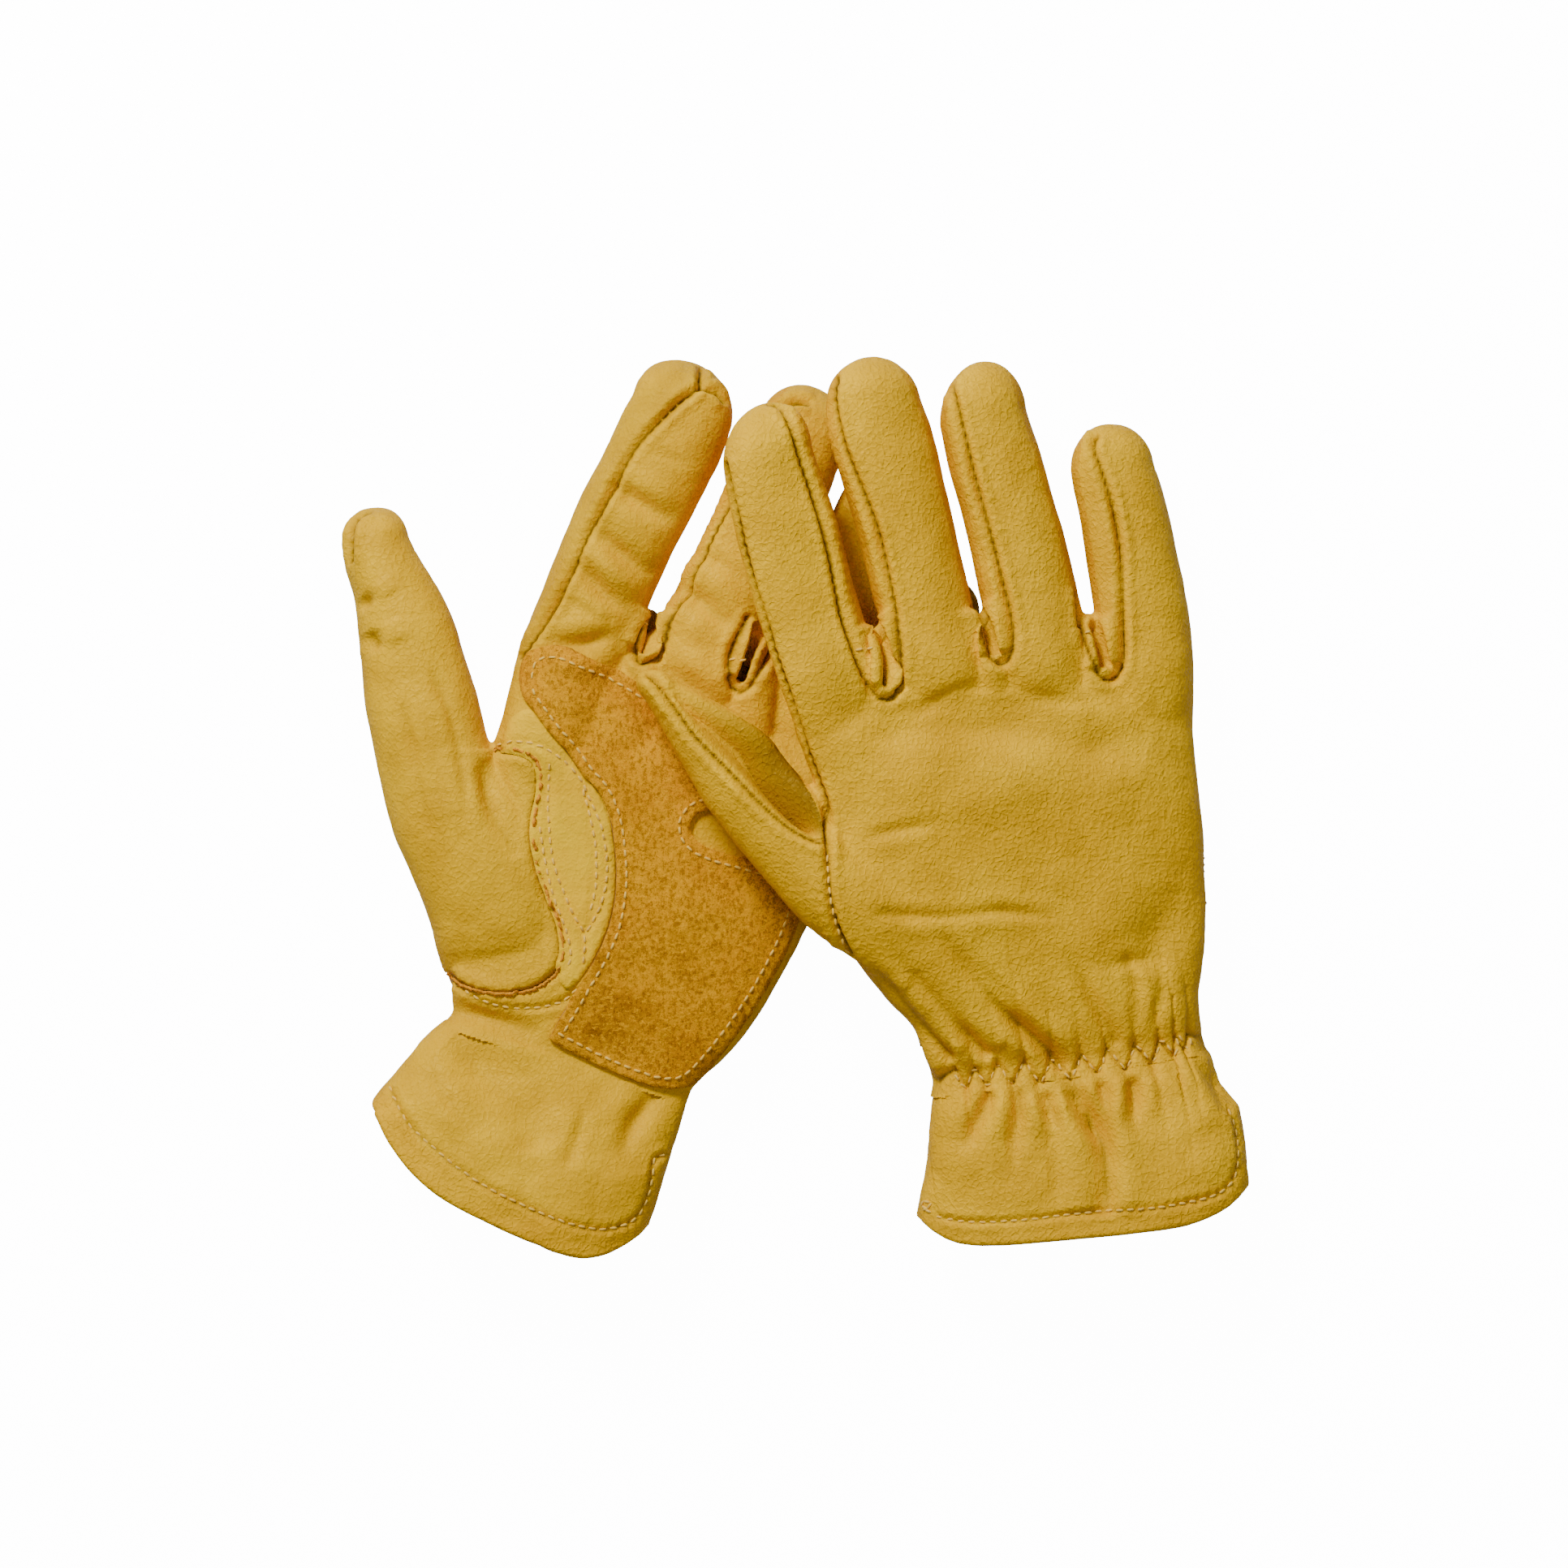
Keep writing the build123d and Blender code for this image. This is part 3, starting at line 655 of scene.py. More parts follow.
def make_mesh(name, co, faces, materials, dark=None, vertex_normals=None, which=None):
    """Smooth mesh object from points in millimetres. which is each face's material, if there are several."""
    mesh = bpy.data.meshes.new(name)
    faces = faces if isinstance(faces, list) else faces.tolist()
    mesh.from_pydata((np.asarray(co) * 0.001).tolist(), [], faces)
    for material in materials if isinstance(materials, tuple) else (materials,):
        mesh.materials.append(material)
    if which is not None:
        mesh.polygons.foreach_set("material_index", np.asarray(which, np.int32))
    mesh.polygons.foreach_set("use_smooth", np.ones(len(mesh.polygons), bool))
    # dark: the brown of the seams and painted shade in folds, creases, slits, gathers and hollows.
    mark = mesh.attributes.new("dark", "FLOAT", "POINT")
    mark.data.foreach_set("value", np.asarray(np.zeros(len(co)) if dark is None else dark, np.float32))
    if vertex_normals is not None:
        mesh.normals_split_custom_set_from_vertices(vertex_normals.tolist())
    return stand(name, mesh)


def renumbered(faces):
    """The points that these faces use, and the faces counted in those points."""
    used, flat = np.unique(faces, return_inverse=True)
    return used, flat.reshape(faces.shape)


def cut_out(name, co, quads, dark, nrm, chosen, material):
    """Piece of the skin made of the chosen faces."""
    used, faces = renumbered(quads[chosen])
    return make_mesh(name, co[used], faces, material, dark[used], nrm[used])


def see(tree, xy, top):
    """Height of the skin over a point, seen from above (top 1) or below (top -1), and its normal."""
    start = Vector((xy[0], xy[1], 200.0 if top > 0 else -200.0))
    spot, normal, _, _ = tree.ray_cast(start, Vector((0, 0, -top)))
    return spot, normal


def applique(name, outline, tree, top, thick, lift, materials, spacing=1.1, ragged=0.16):
    """Flat leather piece sewn onto the skin: its outline laid on it and raised, with raw edges."""
    edge = curve(list(outline) + [outline[0]], spacing)[:-1]
    wander = [lumps(np.c_[edge, edge[:, axis]], 1.9, 8 + axis) for axis in (0, 1)]
    edge = edge + ragged * np.stack(wander, 1)
    low, high = edge.min(0), edge.max(0)
    gx, gy = np.meshgrid(np.arange(low[0], high[0], spacing), np.arange(low[1], high[1], spacing * 0.9))
    gx = gx + (np.arange(len(gx)) % 2)[:, None] * spacing / 2
    grid = np.stack([gx.ravel(), gy.ravel()], 1)
    grid = grid[within(grid, edge)]
    index = near(grid, np.vstack([edge, edge[:1]]), spacing * 0.75)[0]
    grid = np.delete(grid, index, axis=0)
    points = [Vector(p) for p in np.vstack([edge, grid]).tolist()]
    n = len(edge)
    closed = [(i, (i + 1) % n) for i in range(n)]
    flat, _, tris, _, _, _ = geometry.delaunay_2d_cdt(points, closed, [], 1, 1e-6)
    co, nrm, alive = [], [], []
    for p in flat:
        spot, normal = see(tree, p, top)
        alive.append(spot is not None and normal.z * top > 0.3)
        co.append([p[0], p[1], spot.z if spot else 0.0])
        nrm.append(list(normal) if spot else [0, 0, top])
    co, nrm = np.array(co), np.array(nrm)
    alive = np.array(alive)
    tris = np.array([t for t in tris if all(alive[i] for i in t)])
    if top < 0:
        tris = tris[:, ::-1]
    smooth = soften(nrm, tris, 3)
    high_side = co + smooth * (thick + lift)
    low_side = co + smooth * (lift - 0.5)
    high_side[:, 2] = np.maximum(high_side[:, 2], 0.02)
    low_side[:, 2] = np.maximum(low_side[:, 2], 0.02)
    edges = np.vstack([tris[:, [k, (k + 1) % 3]] for k in range(3)])
    _, first, count = np.unique(np.sort(edges, axis=1), axis=0, return_index=True, return_counts=True)
    rim = edges[first[count == 1]]
    m = len(co)
    faces = tris.tolist() + [(b, a, a + m, b + m) for a, b in rim.tolist()]
    which = [0] * len(tris) + [1] * len(rim)
    made = make_mesh(name, np.vstack([high_side, low_side]), faces, materials, which=which)
    made.data.polygons.foreach_set("use_smooth", [True] * len(tris) + [False] * len(rim))
    return made, BVHTree.FromPolygons(high_side.tolist(), tris.tolist())


def soften(values, faces, times):
    """Averages a vector at each vertex with its neighbours' and scales it to length one."""
    out = values.copy()
    for _ in range(times):
        total = out.copy()
        for k in range(faces.shape[1]):
            np.add.at(total, faces[:, k], out[faces].mean(1))
        out = total / np.maximum(np.linalg.norm(total, axis=1), 1e-9)[:, None]
    return out


def stitches(name, runs, trees, material, pitch=2.9, length=2.15, radius=0.33):
    """Thread: one short rounded stitch after another along each run of (points, +1 above or -1 below)."""
    sides = 6
    # Each section of a stitch: its place along it, how thick it is and how high it stands.
    sections = ((-0.5, 0.0, -0.35), (-0.42, 0.75, -0.1), (-0.22, 1.0, 0.25),
                (0.22, 1.0, 0.25), (0.42, 0.75, -0.1), (0.5, 0.0, -0.35))
    points, faces = [], []
    rng = np.random.default_rng(11)
    for path, top in runs:
        line = curve(path, 0.25)
        step = max(1, int(round(pitch / 0.25)))
        for i in range(step // 2, len(line) - step // 2, step):
            a, b = line[max(0, i - 3)], line[min(len(line) - 1, i + 3)]
            hits = [(s, m) for s, m in (see(tree, line[i], top) for tree in trees) if s is not None]
            if not hits:
                continue
            spot, normal = max(hits, key=lambda h: h[0].z * top)
            if normal.z * top < 0.15:
                continue
            ahead = np.array([*(b - a), 0.0])
            up = np.array(normal)
            ahead = ahead - up * (ahead @ up)
            ahead /= max(np.linalg.norm(ahead), 1e-9)
            across = np.cross(up, ahead)
            turn = rng.normal(0, 0.07)
            ahead, across = ahead + across * turn, across - ahead * turn
            base = np.array(spot) + up * radius * 0.35
            start = len(points)
            for along, share, height in sections:
                for k in range(sides):
                    w = 2 * math.pi * k / sides
                    points.append(base + ahead * along * length
                                  + across * radius * 1.15 * share * math.cos(w)
                                  + up * radius * (height + 0.9 * share * math.sin(w)))
                    points[-1][2] = max(points[-1][2], 0.0)
            faces.append(start + lattice(len(sections), sides))
    return make_mesh(name, np.array(points), np.vstack(faces), material)


def raw_edge(name, path, tree, radius, material):
    """The cut edge of a leather piece that laps over another, seen as a thin ragged line."""
    line = curve(path, 0.6)
    ahead = np.gradient(line, axis=0)
    ahead /= np.linalg.norm(ahead, axis=1)[:, None]
    points, sides = [], 6
    for k, (p, a) in enumerate(zip(line, ahead)):
        spot, normal = see(tree, p, 1)
        if spot is None:
            continue
        up = np.array(normal)
        across = np.cross(up, [a[0], a[1], 0.0])
        across /= max(np.linalg.norm(across), 1e-9)
        rough = radius * (1 + 0.3 * math.sin(k * 1.7) * math.sin(k * 0.61))
        for w in range(sides):
            t = w * 2 * math.pi / sides
            points.append(np.array(spot) + across * rough * math.cos(t)
                          + up * rough * (1.5 + 0.8 * math.sin(t)))
    return make_mesh(name, np.array(points), lattice(len(points) // sides, sides), material)


def cuff(wrist, rungs, drop, powers, mid, lines, gathers):
    """Cuff as one sheet of leather: outside from wrist to hem, over the edge, and back up inside."""
    around, down = ((300, 56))
    rows = np.array(rungs, float)
    steps = np.linspace(0, 1, down)
    even = np.stack([np.interp(steps, np.linspace(0, 1, len(rows)), rows[:, k]) for k in range(6)], 1)
    u, v = oval(around, SQUARE)
    left, right = even[:, 0:2], even[:, 2:4]
    c, h = (left + right) / 2, (right - left) / 2
    away = np.stack([h[:, 1], -h[:, 0]], 1) / np.hypot(*h.T)[:, None]
    bulge = 1 - np.abs(u) ** np.where(u > 0, powers[1], powers[0])
    lower = drop * steps**1.4
    sag = away[:, None, :] * (lower[:, None] * bulge)[..., None]
    xy = c[:, None, :] + h[:, None, :] * u[None, :, None] + sag
    thick = even[:, 4:5] + (even[:, 5:6] - even[:, 4:5]) * (u[None, :] + 1) / 2
    z = mid(xy[..., 0], xy[..., 1], thick) + v[None, :] * thick
    co = np.dstack([xy, z]).reshape(-1, 3)
    quads = lattice(down, around)[:, [0, 3, 2, 1]]
    nrm = normals(co, quads)
    centre = np.repeat(np.c_[c, mid(c[:, 0], c[:, 1], even[:, 4])], around, axis=0)
    flip = ((nrm * (co - centre)).sum(1) < 0).mean() > 0.5
    if flip:
        nrm, quads = -nrm, quads[:, ::-1]
    amount, dark = np.zeros(len(co)), np.zeros(len(co))
    wrinkle(co, amount, 1.25)
    dent(co, nrm, lines, 1, amount, dark)
    shirr(co, nrm, wrist, gathers, amount, dark)
    edge = np.repeat(steps, around)
    far = (1 - edge) * (np.hypot(*(c[-1] - c[0])) + drop * np.tile(bulge, down))
    amount -= 0.5 * smooth_step(-edge, -0.06, 0)
    co = settle(co, nrm, amount)
    nrm = normals(co, quads)
    out, n, far = co.reshape(down, around, 3), nrm.reshape(down, around, 3), far.reshape(down, around)
    along = out[-1] - out[-2]
    along /= np.linalg.norm(along, axis=1)[:, None]
    sheets, kinds = [out], [np.where(far < HEM_WIDTH, 2, 0)]
    for w in (30, 60, 90, 120, 150):
        turn = math.radians(w)
        sheets.append((out[-1] - HEM_TURN * (n[-1] * (1 - math.cos(turn)) - along * math.sin(turn)))[None])
        kinds.append(np.full((1, around), 2))
    inside = np.where(far[::-1] < HEM_WIDTH, 2.6, 1.5)[..., None]
    sheets.append(out[::-1] - n[::-1] * inside)
    kinds.append(np.where(far[::-1] < HEM_WIDTH, 2, 1))
    full = np.vstack(sheets)
    kind = np.vstack(kinds)
    rows = len(full)
    full[..., 2] = np.maximum(full[..., 2], 0.12)
    faces = lattice(rows, around)[:, [0, 3, 2, 1]]
    if flip:
        faces = faces[:, ::-1]
    co = full.reshape(-1, 3)
    shade = np.zeros(len(co))
    shade[: len(dark)] = dark
    top = np.tile(v > 0, rows - 1)
    tree = BVHTree.FromPolygons(out.reshape(-1, 3).tolist(), quads.tolist())
    return co, faces, shade, normals(co, faces), kind[:-1].ravel(), top, tree


def band(wrist, mid, half_thick, inset, width):
    """Woven elastic sewn round the inside of the wrist, gathered."""
    around, across = 260, 6
    a, d, up, size = wrist_axes(wrist)
    u, v = oval(around, SQUARE)
    gather = 0.35 * np.sin(np.linspace(0, 2 * math.pi, around, endpoint=False) * 31)
    co = []
    for layer in (0.0, 1.0):
        pull = inset + layer + gather
        for k in range(across):
            xy = a + d * (size / 2 + (size / 2 - pull) * u)[:, None] + up * (k / (across - 1) - 0.5) * width
            co.append(np.c_[xy, mid(xy[:, 0], xy[:, 1], half_thick) + v * (half_thick - pull)])
    flat, last = lattice(across, around), (across - 1) * around
    rim = lattice(2, around) + np.array([0, 0, last, last])
    return np.vstack(co), np.vstack([flat, flat[:, ::-1] + across * around, rim[:, ::-1], rim + last])


# ------------------------------------------------------------------ materials


class Nodes:
    """Short hand for building a material's nodes."""

    def __init__(self, name, finish):
        self.material = bpy.data.materials.new(name)
        self.material.use_nodes = True
        self.tree = self.material.node_tree
        self.tree.nodes.clear()
        self.out = self.tree.nodes.new("ShaderNodeOutputMaterial")
        self.shader = self.add("ShaderNodeBsdfPrincipled", **finish)
        self.tree.links.new(self.shader.outputs[0], self.out.inputs[0])
        self.place = self.tree.nodes.new("ShaderNodeTexCoord").outputs["Object"]

    def add(self, kind, **inputs):
        node = self.tree.nodes.new(kind)
        for key, value in inputs.items():
            socket = node.inputs[key.replace("_", " ")] if isinstance(key, str) else node.inputs[key]
            self.put(socket, value)
        return node

    def put(self, socket, value):
        if isinstance(value, bpy.types.NodeSocket):
            self.tree.links.new(value, socket)
        else:
            socket.default_value = value

    def noise(self, scale, detail=3.0, roughness=0.55, stretch=None):
        place = self.place
        if stretch:
            place = self.add("ShaderNodeMapping", Vector=place, Scale=stretch).outputs[0]
        node = self.add("ShaderNodeTexNoise", Vector=place, Scale=scale, Detail=detail, Roughness=roughness)
        return node.outputs[0]

    def cells(self, scale, feature="F1"):
        node = self.add("ShaderNodeTexVoronoi", Vector=self.place, Scale=scale)
        node.feature = feature
        return node.outputs["Distance"]

    def span(self, value, low, high, to_low=0.0, to_high=1.0):
        node = self.tree.nodes.new("ShaderNodeMapRange")
        for k, v in enumerate((value, low, high, to_low, to_high)):
            self.put(node.inputs[k], v)
        return node.outputs[0]

    def mix(self, share, a, b):
        node = self.tree.nodes.new("ShaderNodeMix")
        node.data_type = "RGBA"
        for k, v in ((0, share), (6, a), (7, b)):
            self.put(node.inputs[k], v if isinstance(v, (float, bpy.types.NodeSocket)) else (*v, 1))
        return node.outputs[2]

    def sum(self, a, b, kind="ADD"):
        node = self.tree.nodes.new("ShaderNodeMath")
        node.operation = kind
        self.put(node.inputs[0], a)
        self.put(node.inputs[1], b)
        return node.outputs[0]

    def times(self, a, b):
        return self.sum(a, b, "MULTIPLY")

    def tint(self, color, share, amount, other):
        """The colour, taken towards another one by an amount times a share."""
        return self.mix(self.times(share, amount), color, other)

    def bump(self, height, strength, distance, under=None):
        node = self.add("ShaderNodeBump", Strength=strength, Distance=distance, Height=height)
        if under is not None:
            self.tree.links.new(under, node.inputs["Normal"])
        return node.outputs[0]

    def attribute(self, name):
        node = self.tree.nodes.new("ShaderNodeAttribute")
        node.attribute_name = name
        return node.outputs["Fac"]

    def finish(self, color, roughness, normal):
        self.put(self.shader.inputs["Base Color"], color)
        self.put(self.shader.inputs["Roughness"], roughness)
        self.tree.links.new(normal, self.shader.inputs["Normal"])
        return self.material


def grain_leather(name, bright, usual, deep, seam_brown_and_shade, gloss, grain=1.0):
    """Yellow grain leather: mottled, pebbled, with fine creases, brown in its seams and painted shade in its
    folds, creases, slits and hollows.
    """
    n = Nodes(name, {"Specular IOR Level": 0.3})
    n.shader.inputs["Specular Tint"].default_value = (1.0, 0.72, 0.16, 1)
    mottle = n.span(n.noise(32, 4, 0.6), 0.38, 0.64)
    patch = n.span(n.noise(85, 3, 0.55), 0.4, 0.7)
    color = n.mix(mottle, usual, bright)
    color = n.tint(color, patch, 0.35, deep)
    creases = n.span(n.cells(520, "DISTANCE_TO_EDGE"), 0.0, 0.12, 1.0, 0.0)
    worn = n.span(n.noise(60, 2, 0.5), 0.45, 0.65)
    color = n.tint(color, n.times(creases, worn), 0.28 * grain, deep)
    specks = n.span(n.noise(900, 2, 0.6), 0.6, 0.78)
    color = n.tint(color, specks, 0.4, deep)
    pores = n.span(n.cells(700), 0.0, 0.35, 1.0, 0.0)
    color = n.tint(color, pores, 0.2 * grain, deep)
    # The dark attribute: brown of the seams and painted shade from the skin's folds, gathers, slits and
    # hollows.
    color = n.tint(color, n.attribute("dark"), 0.92, seam_brown_and_shade)
    rough = n.span(n.noise(140, 3, 0.6), 0.3, 0.7, gloss, gloss + 0.2)
    pebble = n.sum(n.cells(900), n.times(n.noise(480, 3, 0.6), 1.2))
    lines = n.bump(creases, 0.35 * grain, 0.0004)
    fine = n.bump(pebble, 0.5 * grain, 0.0004, lines)
    broad = n.bump(n.noise(130, 4, 0.6), 0.2, 0.0014, fine)
    return n.finish(color, rough, broad)


def suede(name, bright, usual, deep):
    """Napped split leather, brushed in patches."""
    n = Nodes(name, {"Specular IOR Level": 0.1, "Sheen Weight": 0.1, "Sheen Roughness": 0.4})
    n.shader.inputs["Sheen Tint"].default_value = (1.0, 0.62, 0.12, 1)
    brushed = n.span(n.noise(48, 5, 0.62), 0.36, 0.66)
    color = n.mix(brushed, usual, bright)
    worn = n.span(n.noise(26, 4, 0.7), 0.52, 0.72)
    color = n.tint(color, worn, 0.75, deep)
    nap = n.span(n.noise(780, 4, 0.85, (1.0, 0.6, 1.0)), 0.47, 0.58)
    color = n.tint(color, nap, 0.6, deep)
    pale = n.span(n.noise(900, 3, 0.8, (0.6, 1.0, 1.0)), 0.54, 0.62)
    color = n.tint(color, pale, 0.75, bright)
    color = n.tint(color, n.attribute("dark"), 0.6, deep)
    fuzz = n.bump(n.noise(1300, 4, 0.75), 0.7, 0.0006)
    broad = n.bump(n.noise(210, 4, 0.65), 0.55, 0.0012, fuzz)
    rough = n.span(n.noise(90, 2, 0.5), 0.3, 0.7, 0.86, 1.0)
    return n.finish(color, rough, broad)


def fibre(name, bright, deep, scale, depth, finish, rough=(0.7, 0.95)):
    """Thread, cut edges, flesh side and other fibrous stuff."""
    n = Nodes(name, finish)
    grain = n.span(n.noise(scale, 3, 0.7), 0.35, 0.68)
    spots = n.span(n.noise(scale * 0.13, 3, 0.6), 0.4, 0.7)
    color = n.mix(grain, bright, deep)
    color = n.tint(color, spots, 0.4, deep)
    wear = n.span(n.noise(scale * 0.3, 2, 0.5), 0.3, 0.7, rough[0], rough[1])
    return n.finish(color, wear, n.bump(n.noise(scale, 3, 0.7), 0.6, depth))


def woven(name, bright, deep):
    """Ribbed elastic tape."""
    n = Nodes(name, {"Specular IOR Level": 0.2, "Sheen Weight": 0.3})
    ribs = n.add("ShaderNodeTexWave", Vector=n.place, Scale=330.0, Distortion=1.2, Detail=2.0).outputs[1]
    color = n.tint(bright, ribs, 0.6, deep)
    color = n.tint(color, n.noise(700, 2, 0.6), 0.35, deep)
    rough = n.span(n.noise(200, 2, 0.5), 0.3, 0.7, 0.75, 0.95)
    return n.finish(color, rough, n.bump(ribs, 0.6, 0.0004))


# The fifth colour of each grain leather is seam brown and painted shade.
BACK = grain_leather("back_leather", (1.0, 0.58, 0.0), (0.9, 0.49, 0.0), (0.55, 0.27, 0.0),
                     (0.06, 0.018, 0.001), 0.38)
PALM = grain_leather("palm_leather", (0.95, 0.555, 0.0), (0.83, 0.455, 0.0), (0.5, 0.24, 0.0),
                     (0.06, 0.018, 0.001), 0.4, 0.8)
SIDES = grain_leather("side_leather", (0.88, 0.46, 0.0), (0.78, 0.38, 0.0), (0.48, 0.2, 0.0),
                      (0.04, 0.015, 0.002), 0.45)
LEAF = grain_leather("leaf_leather", (1.0, 0.64, 0.0), (1.0, 0.57, 0.0), (0.8, 0.42, 0.0),
                     (0.06, 0.02, 0.002), 0.38, 0.6)
HEM = grain_leather("hem_leather", (0.95, 0.53, 0.0), (0.85, 0.44, 0.0), (0.52, 0.25, 0.0),
                    (0.08, 0.03, 0.004), 0.5)
SUEDE = suede("suede", (0.95, 0.45, 0.0), (0.72, 0.29, 0.0), (0.22, 0.065, 0.0))
FLESH = fibre("flesh_side", (0.70, 0.48, 0.22), (0.42, 0.26, 0.09), 900.0, 0.0004, {"Sheen Weight": 0.4})
CUT = fibre("cut_edge", (0.60, 0.34, 0.12), (0.28, 0.14, 0.04), 1700.0, 0.0003, {"Specular IOR Level": 0.05})
RAW = fibre("raw_edge", (0.95, 0.42, 0.03), (0.5, 0.18, 0.01), 1700.0, 0.0003, {"Specular IOR Level": 0.05})
THREAD = fibre("thread", (1.0, 0.7, 0.14), (0.85, 0.5, 0.07), 3000.0, 0.0001, {"Specular IOR Level": 0.05},
               (0.6, 0.85))
ELASTIC = woven("elastic", (0.80, 0.76, 0.68), (0.52, 0.47, 0.38))

SLOTS = {"back": (BACK, "back_leather"), "palm": (PALM, "palm_leather"), "side": (SIDES, "back_leather")}

# ------------------------------------------------------------------ building each glove

JOINTS = {j["child"]: j for j in frame["joints"]}


def hinge_line(child):
    """Where a finger's hinge is and which way the finger points from it, in millimetres."""
    joint = JOINTS[child]
    axis = Vector(joint["axis"])
    ahead = Vector((0, 0, 1)).cross(axis).normalized()
    return np.array(joint["pos_m"]) * 1000, np.array(ahead)


# Where each bend begins and ends, from its hinge towards the part that moves.
BEND = {"left_thumb": (-4, 12), "left_index": (6, 22), "left_cuff": (0, 16), "right_thumb": (-8, 8),
        "right_index": (-6, 10), "right_middle": (0, 16), "right_ring": (3, 19), "right_little": (0, 16),
        "right_cuff": (0, 16)}
# The glove's two sides, upper one first, and the names of their panels.
UP_AND_DOWN = {"right": ("back", "palm"), "left": ("palm", "back")}
PANEL = {"back": "back", "palm": "front"}


def add_piece(piece, body, nodes, joint_child=None):
    """Ties a piece to its body, or, for a piece beyond a hinge, only bakes its place into its points."""
    if joint_child:
        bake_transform(piece)
    else:
        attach(piece, body)
    if nodes:
        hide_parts(*nodes)
    return piece


def build_hand(side, glove, wrist, top_lines, bottom_lines, gathers):
    """Cuts a glove's skin into its leather panels. Returns the whole skin for things to be sewn onto."""
    co, quads, dark, nrm, upper = skin(glove, wrist, top_lines, bottom_lines, gathers)
    middle = co[quads].mean(1)
    up_face = upper[quads].mean(1) > 0.5
    start, _, up, _ = wrist_axes(wrist)
    above = (middle[:, :2] - start) @ up
    keep = above > WRIST_CUT
    names = [n for n in glove if n != "hand" and "web" not in n]
    across, place, ahead = {}, {}, {}
    for name in names:
        child = f"{side}_{name}"
        across[name], place[name] = finger_place(middle[:, :2], glove[name][3], glove[name][2])
        if child in JOINTS:
            spot, way = hinge_line(child)
            first = spot[:2] + way[:2] * BEND[child][0]
        else:
            base, lean = STILL[name]
            way = heading(lean)
            first = np.array(base) + way * 8
        ahead[name] = (middle[:, :2] - first) @ way[:2]
    nearest = np.array([np.abs(across[n]) for n in names])
    best = nearest.argmin(0)
    zone = np.full(len(quads), -1)
    for k, name in enumerate(names):
        zone[(best == k) & (ahead[name] > 0) & (nearest[k] < 1.25) & (place[name] > 0)] = k
    top_kind, bottom_kind = UP_AND_DOWN[side]
    for kind, faces in ((top_kind, up_face), (bottom_kind, ~up_face)):
        material, slot_name = SLOTS[kind]
        made = cut_out(f"{side}_{kind}_skin", co, quads, dark, nrm, keep & (zone < 0) & faces, material)
        add_piece(made, f"{side}_hand", [f"{side}_{kind}_panel"])
    for k, name in enumerate(names):
        child = f"{side}_{name}"
        here = keep & (zone == k)
        edge = (np.abs(across[name]) > 0.86) & (place[name] < place[name].max() - 3)
        outer = here & edge & (across[name] > 0) & (name in ("index", "middle", "ring"))
        inner = here & edge & (across[name] < 0) & (name in ("middle", "ring", "little"))
        rest = here & ~outer & ~inner
        parts = [(top_kind, rest & up_face, f"{child}_{PANEL[top_kind]}"),
                 (bottom_kind, rest & ~up_face, f"{child}_{PANEL[bottom_kind]}"),
                 ("side", outer, f"{child}_fourchette_outer"), ("side", inner, f"{child}_fourchette_inner")]
        for kind, faces, node in parts:
            if not faces.any():
                continue
            material, slot_name = SLOTS[kind]
            made = cut_out(f"{node}_skin", co, quads, dark, nrm, faces, material)
            add_piece(made, f"{side}_hand", [node], child if child in JOINTS else None)
    flesh = keep & (above < FLESH_HEIGHT) & (zone < 0)
    used, faces = renumbered(quads[flesh])
    inner_co = (co - nrm * 1.5)[used]
    inner_co[:, 2] = np.maximum(inner_co[:, 2], 0.3)
    made = make_mesh(f"{side}_wrist_flesh", inner_co, faces[:, ::-1], FLESH)
    add_piece(made, f"{side}_hand", [])
    return BVHTree.FromPolygons(co.tolist(), quads[keep].tolist())


def build_cuff(side, wrist, rungs, drop, powers, mid, lines, gathers):
    """Cuff pieces: its two panels and the turned-in hem."""
    co, faces, dark, nrm, kind, top, tree = cuff(wrist, rungs, drop, powers, mid, lines, gathers)
    child = f"{side}_cuff"
    for name, upper in zip(UP_AND_DOWN[side], (True, False)):
        chosen = (kind < 2) & (top == upper)
        used, own = renumbered(faces[chosen])
        leather, slot_name = SLOTS[name]
        node = f"{child}_{PANEL[name]}"
        made = make_mesh(f"{node}_skin", co[used], own, (leather, FLESH), dark[used], nrm[used],
                         kind[chosen] == 1)
        add_piece(made, f"{side}_hand", [node], child)
    made = cut_out(f"{child}_hem_skin", co, faces, dark, nrm, kind == 2, HEM)
    add_piece(made, f"{side}_hand", [f"{child}_hem"], child)
    return tree


def sew(name, runs, trees, body, child=None):
    """Rows of stitches on the surfaces that the trees stand for."""
    add_piece(stitches(name, runs, trees, THREAD), body, [], child)


LAP = PALM_LINES[-1][1]  # the raw edge of the thumb piece

right = build_hand("right", RIGHT, RIGHT_WRIST, BACK_LINES + [("seam", THUMB_SEAM)],
                   [("lap", on_right_palm(LAP))], 1)
left = build_hand("left", LEFT, LEFT_WRIST, PALM_LINES + [("sewn", p) for p in PALM_THREAD], [], -1)

RIGHT_CUFF = [(38.2, -79.3, 117.8, -69, 14, 14), (38.3, -88.7, 121.2, -79.2, 15.5, 15.5),
              (37.5, -100.3, 126.1, -85.5, 17.5, 17.5), (35.4, -111.9, 128.2, -96, 19, 19),
              (34.9, -116, 129.3, -107, 19.3, 19.3)]
LEFT_CUFF = [(-99.4, -59.8, -29.4, -82, 13.2, 11.2), (-107, -67, -32.5, -90, 15.3, 13.6),
             (-114.5, -76, -35.8, -101, 17.8, 16.8), (-120.8, -83, -41.5, -119, 19, 18)]

